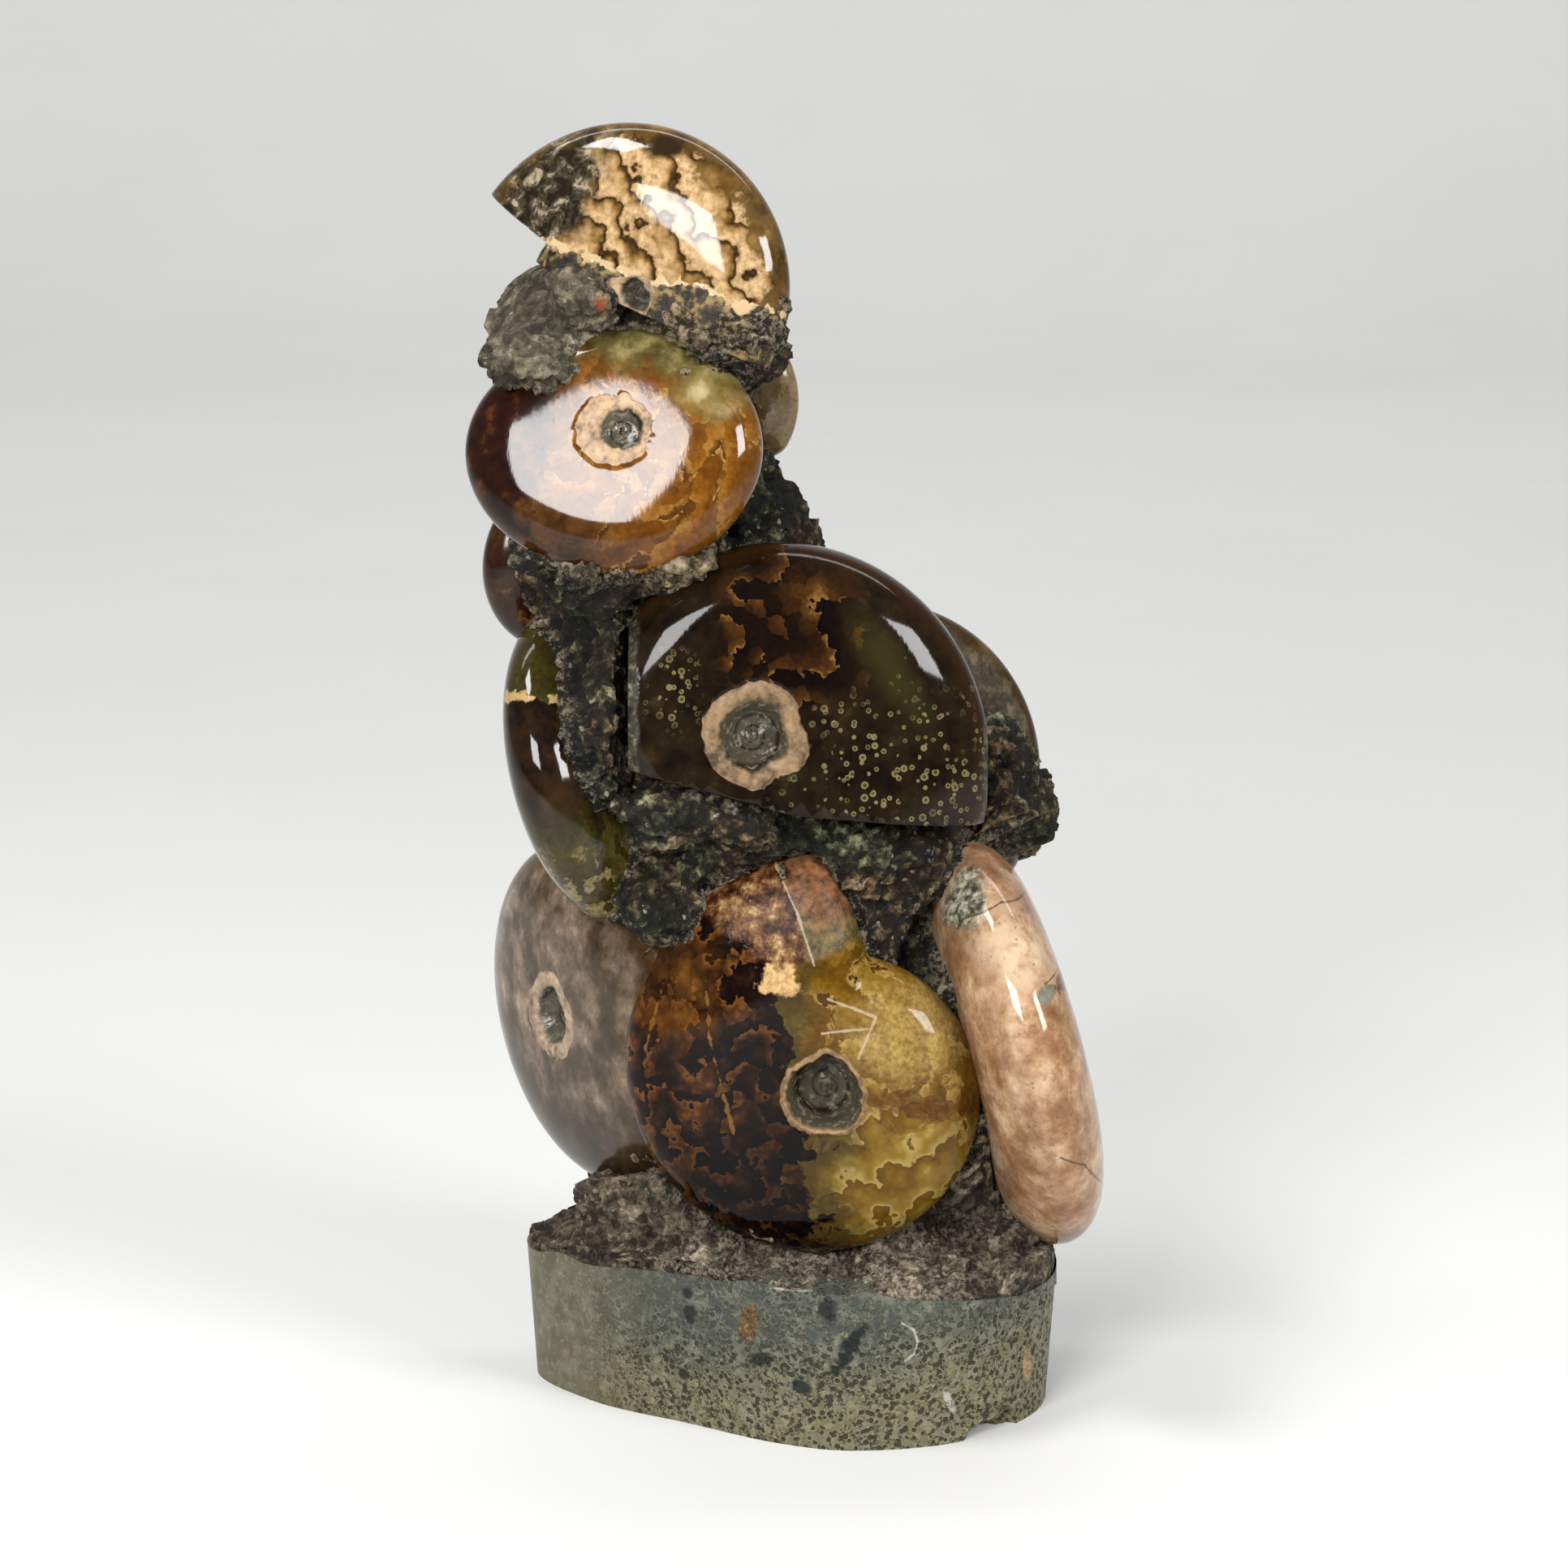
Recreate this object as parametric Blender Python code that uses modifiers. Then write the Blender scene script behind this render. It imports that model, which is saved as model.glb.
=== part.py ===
"""An upright cluster of polished ammonites that stand out of one piece of dark, rough rock.

The rock was sawn flat underneath and ground smooth round its foot. The coiled shells lie in sockets in
the rock, each a solid of its own with a small gap all round. Everything is in millimetres here and is
turned into metres as it is built. X runs to the right of the side that is looked at, Y to the back
and Z up. The origin lies in the sawn face, under the middle of the foot.
"""

import math

import bmesh
import bpy
from mathutils import Matrix, Vector

MM = 0.001

# Driving sizes of the rock
FOOT_HEIGHT = 18.0
FOOT_FLARE = 1.035
ROCK_GRID = 2.0
ROCK_TRIANGLES_KEPT = 0.18
ROCK_SMOOTHING = 6
LUMP_SIZE = 9.0
LUMP_HEIGHT = 2.4
SOCKET_GAP = 0.8

# Driving numbers of the shells: how many steps round a whorl, and its half section.
# Each pair is a share of the radius from the navel outwards and a share of the half thickness.
STEPS_ROUND = 22
WHORL_SECTION = ((0.0, 0.45), (0.19, 0.97), (0.55, 0.92), (0.83, 0.67), (0.96, 0.33), (1.0, 0.0))
SOCKET_SECTION = ((0.0, 0.98), (0.55, 0.93), (0.83, 0.67), (0.96, 0.33), (1.0, 0.0))

# The sawn foot's outline, anticlockwise from the left end of the front
FOOT_OUTLINE = (
    (-31.5, 4.0),
    (-24.0, -8.0),
    (-11.6, -15.8),
    (-0.6, -22.4),
    (9.4, -24.8),
    (22.2, -21.4),
    (31.6, -11.0),
    (32.6, 3.0),
    (27.0, 15.0),
    (14.0, 21.5),
    (-4.0, 22.5),
    (-20.0, 18.5),
)

# A flake is missing from the foot's lower edge at the front right: its centre and radii
FOOT_CHIP = ((27.6, -19.0, 0.0), (2.9, 4.0, 4.6))

# The rock above the foot, as lumps that have grown together: centre and radii
ROCK_LUMPS = (
    ((0.5, 0.5, 18.0), (30.0, 20.5, 7.5)),
    ((-1.0, 1.0, 27.0), (27.0, 17.5, 10.0)),
    ((2.0, 2.0, 44.0), (22.0, 15.0, 26.0)),
    ((-17.0, 5.0, 40.0), (8.0, 9.5, 22.0)),
    ((21.5, 0.5, 42.0), (7.5, 16.0, 24.0)),
    ((27.0, -1.0, 22.5), (6.5, 11.0, 7.0)),
    ((-1.0, 0.5, 69.0), (26.0, 17.0, 11.5)),
    ((16.5, -6.0, 70.0), (9.5, 11.0, 5.5)),
    ((0.0, 4.0, 84.0), (18.0, 13.5, 22.0)),
    ((-22.0, -1.5, 90.0), (7.0, 10.5, 18.0)),
    ((-8.0, -10.0, 79.0), (12.0, 7.5, 6.0)),
    ((-21.5, -12.0, 88.0), (2.8, 6.5, 13.0)),
    ((26.0, 7.0, 72.5), (7.5, 9.0, 13.0)),
    ((-6.0, 4.0, 103.0), (11.0, 9.5, 15.0)),
    ((-20.0, 1.0, 106.0), (14.0, 11.0, 13.0)),
    ((-19.0, -8.0, 108.0), (12.0, 8.5, 10.0)),
    ((-18.0, 1.0, 120.0), (15.0, 12.0, 17.0)),
    ((-26.5, -1.0, 131.5), (9.3, 8.0, 9.3)),
    ((-12.0, -2.0, 131.0), (12.5, 12.0, 6.0)),
    ((-27.5, -7.5, 130.0), (8.6, 6.5, 4.8)),
    ((-14.0, 4.0, 136.0), (12.0, 7.5, 11.0)),
)


class Shell:
    """One coiled shell: where its navel is, which way its visible flank looks, and how it is coiled.

    Angles are in degrees, anticlockwise from the right as that flank is looked at. The shell's radius
    is the one at its mouth, and it shrinks by the growth figure over each full turn back from there.
    """

    def __init__(
        self, name, centre, facing, radius, fatness, growth, mouth, turn, colour, behind=(), sawn=()
    ):
        self.name = name
        self.centre = Vector(centre)
        self.facing = Vector(facing).normalized()
        self.radius = radius
        self.half_thickness = radius * fatness
        self.growth = growth
        self.mouth = math.radians(mouth)
        self.turn = turn
        self.colour = colour
        self.behind = behind
        self.sawn = sawn

    def frame(self):
        """The matrix from the shell's own axes (right, up, facing) to the rock's."""
        up = (Vector((0, 0, 1)) - self.facing * self.facing.z).normalized()
        right = up.cross(self.facing)
        turned = Matrix((right, up, self.facing)).transposed().to_4x4()
        return Matrix.Translation(self.centre * MM) @ turned

    def size_at(self, angle):
        """The share of the mouth's size that the coil has at this angle."""
        back = (self.turn * (self.mouth - angle)) % (2 * math.pi)
        return self.growth ** (-back / (2 * math.pi))

    def drawn_in(self, point):
        """A point of the turned disc moved to its place on the coil, whose flanks stay level all round."""
        size = self.size_at(math.atan2(point.y, point.x)) if point.xy.length > 0.1 * MM else 1.0
        return Vector((point.x * size, point.y * size, point.z * self.growth**-0.25))


AMBER = (0.30, 0.14, 0.03)
TAN = (0.50, 0.30, 0.15)
DARK = (0.07, 0.035, 0.012)
OLIVE = (0.13, 0.12, 0.03)
PINK = (0.48, 0.28, 0.18)

SHELLS = (
    Shell(
        "ammonite_top",
        (-17.0, -5.5, 137.1),
        (-0.29, -0.95, 0.09),
        22.8,
        0.29,
        1.69,
        147,
        1,
        TAN,
        sawn=(((0.0, 0.0, 128.8), (-0.4, 0, -0.92)),),
    ),
    Shell(
        "ammonite_upper",
        (-19.5, -11.0, 121.5),
        (-0.08, -0.94, 0.32),
        19.1,
        0.28,
        1.25,
        230,
        1,
        AMBER,
        sawn=(((0.0, 0.0, 130.7), (0, 0, 1)), ((-22.0, 0.0, 131.3), (-0.29, 0, 0.96))),
    ),
    Shell(
        "ammonite_centre",
        (-4.0, -12.0, 86.2),
        (0.06, -0.99, 0.10),
        33.7,
        0.27,
        2.6,
        -60,
        -1,
        DARK,
        sawn=(
            ((-18.4, 0.0, 0.0), (-1, 0, 0)),
            ((24.4, 0.0, 0.0), (1, 0, 0)),
            ((0.0, 0.0, 77.7), (-0.1, 0, -1)),
            ((0.0, 0.0, 77.9), (-0.27, 0, -0.96)),
        ),
    ),
    Shell("ammonite_left", (-22.5, 1.0, 78.5), (0.90, -0.30, 0.29), 22.2, 0.30, 1.3, 70, -1, OLIVE),
    Shell("ammonite_lower", (5.4, -13.5, 43.2), (-0.08, -0.98, 0.02), 28.6, 0.27, 1.8, 96, -1, AMBER),
    Shell(
        "ammonite_right",
        (28.9, 0.5, 43.5),
        (0.96, 0.14, 0.24),
        29.0,
        0.27,
        1.38,
        105,
        -1,
        PINK,
        behind=("ammonite_lower",),
    ),
    Shell(
        "ammonite_lower_left",
        (-24.2, 5.5, 47.6),
        (-0.84, -0.54, -0.06),
        24.3,
        0.27,
        1.2,
        20,
        1,
        PINK,
        behind=("ammonite_left", "ammonite_lower"),
    ),
    Shell(
        "ammonite_behind_right",
        (10.0, 9.0, 78.0),
        (0.2, -0.97, 0.1),
        24.5,
        0.26,
        1.6,
        -50,
        -1,
        OLIVE,
        behind=("ammonite_right",),
    ),
    Shell("ammonite_behind_top", (-8.8, 9.0, 125.0), (0.35, 0.93, 0.05), 11.8, 0.34, 1.6, 215, 1, OLIVE),
    Shell(
        "ammonite_behind_left",
        (-27.3, 8.0, 103.0),
        (-0.62, 0.78, 0.05),
        16.0,
        0.32,
        1.6,
        250,
        1,
        DARK,
        behind=("ammonite_left",),
    ),
    Shell(
        "ammonite_back",
        (-5.0, 14.5, 47.0),
        (-0.05, 0.98, 0.15),
        20.0,
        0.30,
        1.8,
        60,
        1,
        AMBER,
        behind=("ammonite_lower_left",),
    ),
)


def clear_scene():
    for old in list(bpy.data.objects):
        bpy.data.objects.remove(old)


def new_collection(name):
    made = bpy.data.collections.new(name)
    bpy.context.scene.collection.children.link(made)
    return made


def finish(name, colour, roughness):
    """A plain material with the piece's colour and polish."""
    made = bpy.data.materials.new(name)
    made.use_nodes = True
    shader = made.node_tree.nodes["Principled BSDF"]
    shader.inputs["Base Color"].default_value = (*colour, 1.0)
    shader.inputs["Roughness"].default_value = roughness
    shader.inputs["Metallic"].default_value = 0.0
    return made


def face_outwards(shape):
    """Turns every face of a closed shape to look out of it."""
    bmesh.ops.recalc_face_normals(shape, faces=shape.faces)
    if shape.calc_volume(signed=True) < 0:
        bmesh.ops.reverse_faces(shape, faces=shape.faces)


def put(shape, name, group, material=None):
    """Turns a bmesh into an object in a collection."""
    face_outwards(shape)
    mesh = bpy.data.meshes.new(name)
    shape.to_mesh(mesh)
    shape.free()
    made = bpy.data.objects.new(name, mesh)
    group.objects.link(made)
    if material:
        mesh.materials.append(material)
        mesh.shade_smooth()
        mesh.set_sharp_from_angle(angle=math.radians(40))
    return made


def as_cutter(made):
    made.hide_render = True
    made.display_type = "WIRE"
    return made


def turned_disc(shell, section):
    """The half section turned a full circle about the facing axis, both flanks closed at the keel."""
    shape = bmesh.new()
    far_side = [(share, -height) for share, height in reversed(section[:-1])]
    points = [
        shape.verts.new((share * shell.radius * MM, 0, height * shell.half_thickness * MM))
        for share, height in [*section, *far_side]
    ]
    edges = [shape.edges.new(pair) for pair in zip(points, points[1:])]
    bmesh.ops.spin(
        shape,
        geom=[*points, *edges],
        cent=(0, 0, 0),
        axis=(0, 0, 1),
        angle=2 * math.pi,
        steps=STEPS_ROUND,
        use_merge=True,
    )
    bmesh.ops.remove_doubles(shape, verts=shape.verts, dist=0.01 * MM)
    return shape


def coil(shell, section):
    """Draws the turned disc in towards the navel along the shell's growth, which leaves a step at the mouth."""
    shape = turned_disc(shell, section)
    bmesh.ops.rotate(
        shape,
        verts=shape.verts,
        cent=(0, 0, 0),
        matrix=Matrix.Rotation(shell.mouth - shell.turn * 0.01, 3, "Z"),
    )
    for point in shape.verts:
        point.co = shell.drawn_in(point.co)
    shape.transform(shell.frame())
    for point, outwards in shell.sawn:
        everything = [*shape.verts, *shape.edges, *shape.faces]
        bmesh.ops.bisect_plane(
            shape, geom=everything, plane_co=Vector(point) * MM, plane_no=outwards, clear_outer=True
        )
        bmesh.ops.holes_fill(shape, edges=[edge for edge in shape.edges if edge.is_boundary])
    face_outwards(shape)
    return shape


def grown(shape, distance):
    """Moves each point outwards, for a socket with room round its shell."""
    shape.normal_update()
    moves = [point.normal * distance * MM for point in shape.verts]
    for point, move in zip(shape.verts, moves):
        point.co += move
    return shape


def add_boolean(target, other, operation):
    step = target.modifiers.new(f"{operation.lower()} {other.name}", "BOOLEAN")
    step.operation = operation
    step.object = other
    step.solver = "EXACT"


def drop_flakes(made):
    """Fixes the modifiers' result as the piece's mesh, without the flakes the sockets cut loose."""
    shape = bmesh.new()
    shape.from_object(made, bpy.context.evaluated_depsgraph_get())
    waiting = set(shape.verts)
    bodies = []
    while waiting:
        body = {waiting.pop()}
        edge_of_body = set(body)
        while edge_of_body:
            edge_of_body = {
                edge.other_vert(point) for point in edge_of_body for edge in point.link_edges
            } - body
            body |= edge_of_body
        waiting -= body
        bodies.append(body)
    bodies.sort(key=len)
    for flake in bodies[:-1]:
        bmesh.ops.delete(shape, geom=list(flake), context="VERTS")
    shape.to_mesh(made.data)
    shape.free()
    made.modifiers.clear()


def ball(shape, centre, radii, detail):
    made = bmesh.ops.create_icosphere(shape, subdivisions=detail, radius=MM)
    bmesh.ops.scale(shape, vec=radii, verts=made["verts"])
    bmesh.ops.translate(shape, vec=Vector(centre) * MM, verts=made["verts"])


def smooth_ring(corners, steps):
    """Points on a closed, smooth curve through the corners."""
    ring = []
    count = len(corners)
    for index in range(count):
        before, start, end, after = (Vector(corners[(index + k) % count]) for k in (-1, 0, 1, 2))
        for step in range(steps):
            t = step / steps
            ring.append(
                0.5 * ((2 * start) + (end - before) * t + (2 * before - 5 * start + 4 * end - after) * t**2
                       + (3 * start - before - 3 * end + after) * t**3)
            )
    return ring


def foot(group):
    """The sawn and ground foot: the outline raised to its height and flared a little towards the top."""
    shape = bmesh.new()
    corners = [shape.verts.new((x * MM, y * MM, 0)) for x, y in smooth_ring(FOOT_OUTLINE, 3)]
    raised = bmesh.ops.extrude_face_region(shape, geom=[shape.faces.new(corners)])
    top = [item for item in raised["geom"] if isinstance(item, bmesh.types.BMVert)]
    bmesh.ops.translate(shape, vec=(0, 0, FOOT_HEIGHT * MM), verts=top)
    bmesh.ops.scale(shape, vec=(FOOT_FLARE, FOOT_FLARE, 1), verts=top)
    return as_cutter(put(shape, "foot_block", group))


def rock(parts, cutters):
    """The whole stone: lumps grown into one, joined to the ground foot, with a socket for every shell."""
    shape = bmesh.new()
    for centre, radii in ROCK_LUMPS:
        ball(shape, centre, radii, 3)
    made = put(shape, "rock_matrix", parts, finish("rough_rock", (0.10, 0.09, 0.08), 0.85))

    grow = made.modifiers.new("grow together", "REMESH")
    grow.mode = "VOXEL"
    grow.voxel_size = ROCK_GRID * MM
    wear = made.modifiers.new("wear", "SMOOTH")
    wear.iterations = ROCK_SMOOTHING
    lumps = bpy.data.textures.new("lumps", "CLOUDS")
    lumps.noise_scale = LUMP_SIZE * MM
    rough = made.modifiers.new("broken face", "DISPLACE")
    rough.texture = lumps
    rough.texture_coords = "LOCAL"
    rough.strength = LUMP_HEIGHT * MM
    rough.mid_level = 0.5
    thin = made.modifiers.new("fewer faces", "DECIMATE")
    thin.ratio = ROCK_TRIANGLES_KEPT

    add_boolean(made, foot(cutters), "UNION")
    chip = bmesh.new()
    ball(chip, *FOOT_CHIP, 2)
    add_boolean(made, as_cutter(put(chip, "foot_chip", cutters)), "DIFFERENCE")
    for shell in SHELLS:
        socket = grown(coil(shell, SOCKET_SECTION), SOCKET_GAP)
        add_boolean(made, as_cutter(put(socket, f"socket_{shell.name}", cutters)), "DIFFERENCE")
    drop_flakes(made)
    return made


def build():
    clear_scene()
    parts = new_collection("ammonite_cluster")
    cutters = new_collection("cutters")
    rock(parts, cutters)
    for shell in SHELLS:
        made = put(coil(shell, WHORL_SECTION), shell.name, parts, finish(f"{shell.name}_polish", shell.colour, 0.12))
        for front in shell.behind:
            add_boolean(made, bpy.data.objects[f"socket_{front}"], "DIFFERENCE")


build()
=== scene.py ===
"""The ammonite cluster as it looks: polished shells in dark, rough rock on a ground foot.

Sizes are in millimetres and turned into metres as a piece is made. X runs to the right of the side the
photograph shows, Y to the back and Z up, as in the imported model.
"""

import math

import bmesh
import bpy
import numpy as np
from mathutils import Matrix, Vector, noise
from mathutils.bvhtree import BVHTree


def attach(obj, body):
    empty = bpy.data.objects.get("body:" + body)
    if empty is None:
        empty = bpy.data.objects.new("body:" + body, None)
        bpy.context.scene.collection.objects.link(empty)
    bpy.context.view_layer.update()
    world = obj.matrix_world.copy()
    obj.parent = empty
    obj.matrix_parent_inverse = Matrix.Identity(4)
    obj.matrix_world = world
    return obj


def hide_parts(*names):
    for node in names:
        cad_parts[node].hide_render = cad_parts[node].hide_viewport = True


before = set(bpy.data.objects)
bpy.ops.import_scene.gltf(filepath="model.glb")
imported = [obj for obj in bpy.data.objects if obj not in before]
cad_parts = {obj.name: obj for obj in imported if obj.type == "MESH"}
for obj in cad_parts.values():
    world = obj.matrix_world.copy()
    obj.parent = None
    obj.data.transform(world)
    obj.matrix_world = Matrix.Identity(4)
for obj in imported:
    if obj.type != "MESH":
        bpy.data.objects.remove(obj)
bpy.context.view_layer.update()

MM = 0.001

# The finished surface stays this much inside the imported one
INSIDE = 0.992

# The rock and its foot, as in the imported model, but with a narrower ledge under the middle shell's right side
FOOT_HEIGHT = 18.0
FOOT_FLARE = 1.035
FOOT_OUTLINE = (
    (-31.5, 4.0), (-24.0, -8.0), (-11.6, -15.8), (-0.6, -22.4), (9.4, -24.8), (22.2, -21.4),
    (31.6, -11.0), (32.6, 3.0), (27.0, 15.0), (14.0, 21.5), (-4.0, 22.5), (-20.0, 18.5),
)
ROCK_LUMPS = (
    ((0.5, 0.5, 18.0), (30.0, 20.5, 7.5)),
    ((-1.0, 1.0, 27.0), (27.0, 17.5, 10.0)),
    ((2.0, 2.0, 44.0), (22.0, 15.0, 26.0)),
    ((-17.0, 5.0, 40.0), (8.0, 9.5, 22.0)),
    ((21.5, 0.5, 42.0), (7.5, 16.0, 24.0)),
    ((27.0, -1.0, 22.5), (6.5, 11.0, 7.0)),
    ((-1.0, 0.5, 69.0), (26.0, 17.0, 11.5)),
    ((11.8, -6.0, 70.5), (6.8, 10.5, 5.5)),
    ((0.0, 4.0, 84.0), (18.0, 13.5, 22.0)),
    ((-22.0, -1.5, 90.0), (7.0, 10.5, 18.0)),
    ((-8.0, -10.0, 79.0), (12.0, 7.5, 6.0)),
    ((-21.5, -12.0, 88.0), (2.8, 6.5, 13.0)),
    ((26.0, 7.0, 72.5), (7.5, 9.0, 13.0)),
    ((-6.0, 4.0, 103.0), (11.0, 9.5, 15.0)),
    ((-20.0, 1.0, 106.0), (14.0, 11.0, 13.0)),
    ((-19.0, -8.0, 108.0), (12.0, 8.5, 10.0)),
    ((-18.0, 1.0, 120.0), (15.0, 12.0, 17.0)),
    ((-26.5, -1.0, 131.5), (9.3, 8.0, 9.3)),
    ((-12.0, -2.0, 131.0), (12.5, 12.0, 6.0)),
    ((-27.5, -7.5, 130.0), (8.6, 6.5, 4.8)),
    ((-14.0, 4.0, 136.0), (12.0, 7.5, 11.0)),
)
# The flake missing from the front right of the foot, as a thick and a thin lump
FLAKE_LUMPS = (
    ((27.6, -19.4, 0.0), (2.7, 4.0, 3.6)),
    ((25.0, -20.2, -0.3), (3.2, 4.4, 2.2)),
)
# Rock that only the finished surface needs: the slope from the foot's edge and the fill between the shells
SLOPE_LUMPS = (
    ((0.5, 0.0, 16.6), (38.0, 28.0, 3.6)),
    ((2.0, -8.0, 18.4), (33.0, 19.5, 3.6)),
    ((-13.0, -5.5, 60.0), (9.0, 9.5, 10.0)),
    ((11.2, -5.2, 61.0), (4.9, 8.7, 9.5)),
    ((18.0, -3.2, 52.0), (5.6, 7.7, 9.0)),
    ((-20.5, -6.5, 84.0), (4.0, 7.5, 15.0)),
)
# Crust that lies over the edge of a shell
CRUST_LUMPS = (
    ((-2.6, -10.4, 134.6), (3.3, 5.2, 4.2)),
    ((-6.2, -11.4, 134.8), (4.6, 4.6, 2.7)),
    ((-11.0, -11.0, 136.0), (3.6, 3.8, 2.0)),
    ((-23.0, -9.6, 137.6), (4.4, 4.2, 3.2)),
    ((-24.4, -8.6, 139.9), (4.2, 3.0, 1.9)),
    ((-29.5, -12.5, 130.3), (6.5, 4.6, 3.4)),
    ((-26.0, -14.5, 107.2), (8.0, 3.4, 2.2)),
    ((-15.0, -15.0, 106.8), (7.5, 3.4, 2.0)),
    ((-14.5, -17.0, 77.0), (6.5, 3.8, 3.8)),
    ((-5.0, -17.4, 75.6), (6.0, 3.6, 2.6)),
    ((-16.0, -13.5, 65.0), (4.5, 4.2, 4.0)),
)

# Half section of a whorl, from the navel outwards: shares of the way across the pit, of the way across the
# rim and of the radius, each with its share of the half thickness
PIT = ((0.0, 0.50), (0.14, 0.52), (0.31, 0.50), (0.48, 0.49), (0.65, 0.52), (0.79, 0.60), (0.9, 0.74))
RIM = ((0.0, 0.90), (0.2, 0.975), (0.45, 0.995), (0.75, 0.985), (0.9, 0.955), (1.0, 0.958))
RIM_END = 0.23
# Inside this share of the radius a whorl is still round, and outside it the growth draws it in
ROUND_SHARE = 0.2
# How much each inner whorl in the pit is larger than the one before
WHORL_STEP = 2.1
FLANK_SHARES = (
    0.25, 0.28, 0.32, 0.37, 0.42, 0.48, 0.54, 0.6, 0.65, 0.7, 0.745, 0.785, 0.82, 0.85, 0.875, 0.9, 0.92,
    0.94, 0.955, 0.968, 0.979, 0.988, 0.995, 1.0,
)
STEPS_ROUND = 240
FULL_TURN = 2 * math.pi

# The rock's surface: the grid it is grown on, how often that is smoothed, how wide and deep its broken faces
# are, and how wide the facets, crumbs and grit on them
VOXEL = 0.6
SMOOTHING = 40
BROKEN_FACE = 9.0
BROKEN_DEPTH = 2.4
FACET = 5.5
CRUMB = 2.4
GRIT = 1.15
# The knob on the left shoulder, which has flatter and paler faces than the rest
KNOB = Vector((-29.0, -4.0, 136.0))

# The camera of the photograph, as estimated
PITCH = math.radians(12)
LENS = 90
SENSOR = 36
TARGET = Vector((0, 0, 77.3))
DISTANCE = 483.0


class Shell:
    """One coiled shell: where its navel is, which way its visible flank looks, and how it is coiled.

    The flank is level up to the start of its curve, then falls as 1 - t**power, all to the root. The pit is
    its share of the radius, how deep it is and how far it lies off the middle. The outline's step at the
    mouth is rounded away over the last part of the turn, from its worn share on, and 0 leaves it sharp. A
    shell with a reach has its outline given every eighth of a turn instead of by its growth.
    """

    def __init__(self, name, slot, centre, facing, radius, fatness, growth, mouth, turn, sawn=(), clear=9.0,
                 curve=(0.1, 3.0, 0.55), navel=1.0, pit=(0.145, 1.0, 0.0, 0.0), worn=0.86, reach=()):
        self.name = name
        self.slot = slot
        self.centre = Vector(centre)
        self.facing = Vector(facing).normalized()
        self.radius = radius * INSIDE
        self.half_thickness = radius * fatness * growth**-0.25
        self.growth = growth
        self.mouth = math.radians(mouth)
        self.turn = turn
        self.sawn = sawn
        self.clear = clear
        self.curve = curve
        self.navel = navel
        self.pit = pit
        self.worn = worn
        self.reach = reach

    def axes(self):
        up = (Vector((0, 0, 1)) - self.facing * self.facing.z).normalized()
        return up.cross(self.facing), up, self.facing

    def frame(self):
        """The matrix from the shell's own axes (right, up, facing) to the rock's, both in millimetres."""
        return Matrix.Translation(self.centre) @ Matrix(self.axes()).transposed().to_4x4()

    def section(self):
        size, deep = self.pit[:2]
        start, power, root = self.curve
        pit = [(share * size, 1 - (1 - height) * deep) for share, height in PIT]
        rim = [(size + share * (RIM_END - size), height) for share, height in RIM]
        falls = [(share, max(0.0, share - start) / (1 - start)) for share in FLANK_SHARES]
        return pit + rim + [(share, 0.97 * max(0.0, 1 - t**power) ** root) for share, t in falls]

    def keel(self, angle):
        """Where the keel lies at this angle, as a share of the radius."""
        if self.reach:
            waves = np.fft.rfft(self.reach) / len(self.reach) * np.array([1, 2, 2, 2, 1])
            return (np.exp(1j * np.multiply.outer(angle, np.arange(5))) * waves).sum(-1).real
        back = (self.turn * (self.mouth - angle)) % FULL_TURN / FULL_TURN
        drawn = self.growth**-back
        if self.worn:
            ease = np.clip((back - self.worn) / (1 - self.worn), 0, 1)
            drawn = drawn + (1 - drawn) * ease * ease * (3 - 2 * ease)
        return drawn


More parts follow.
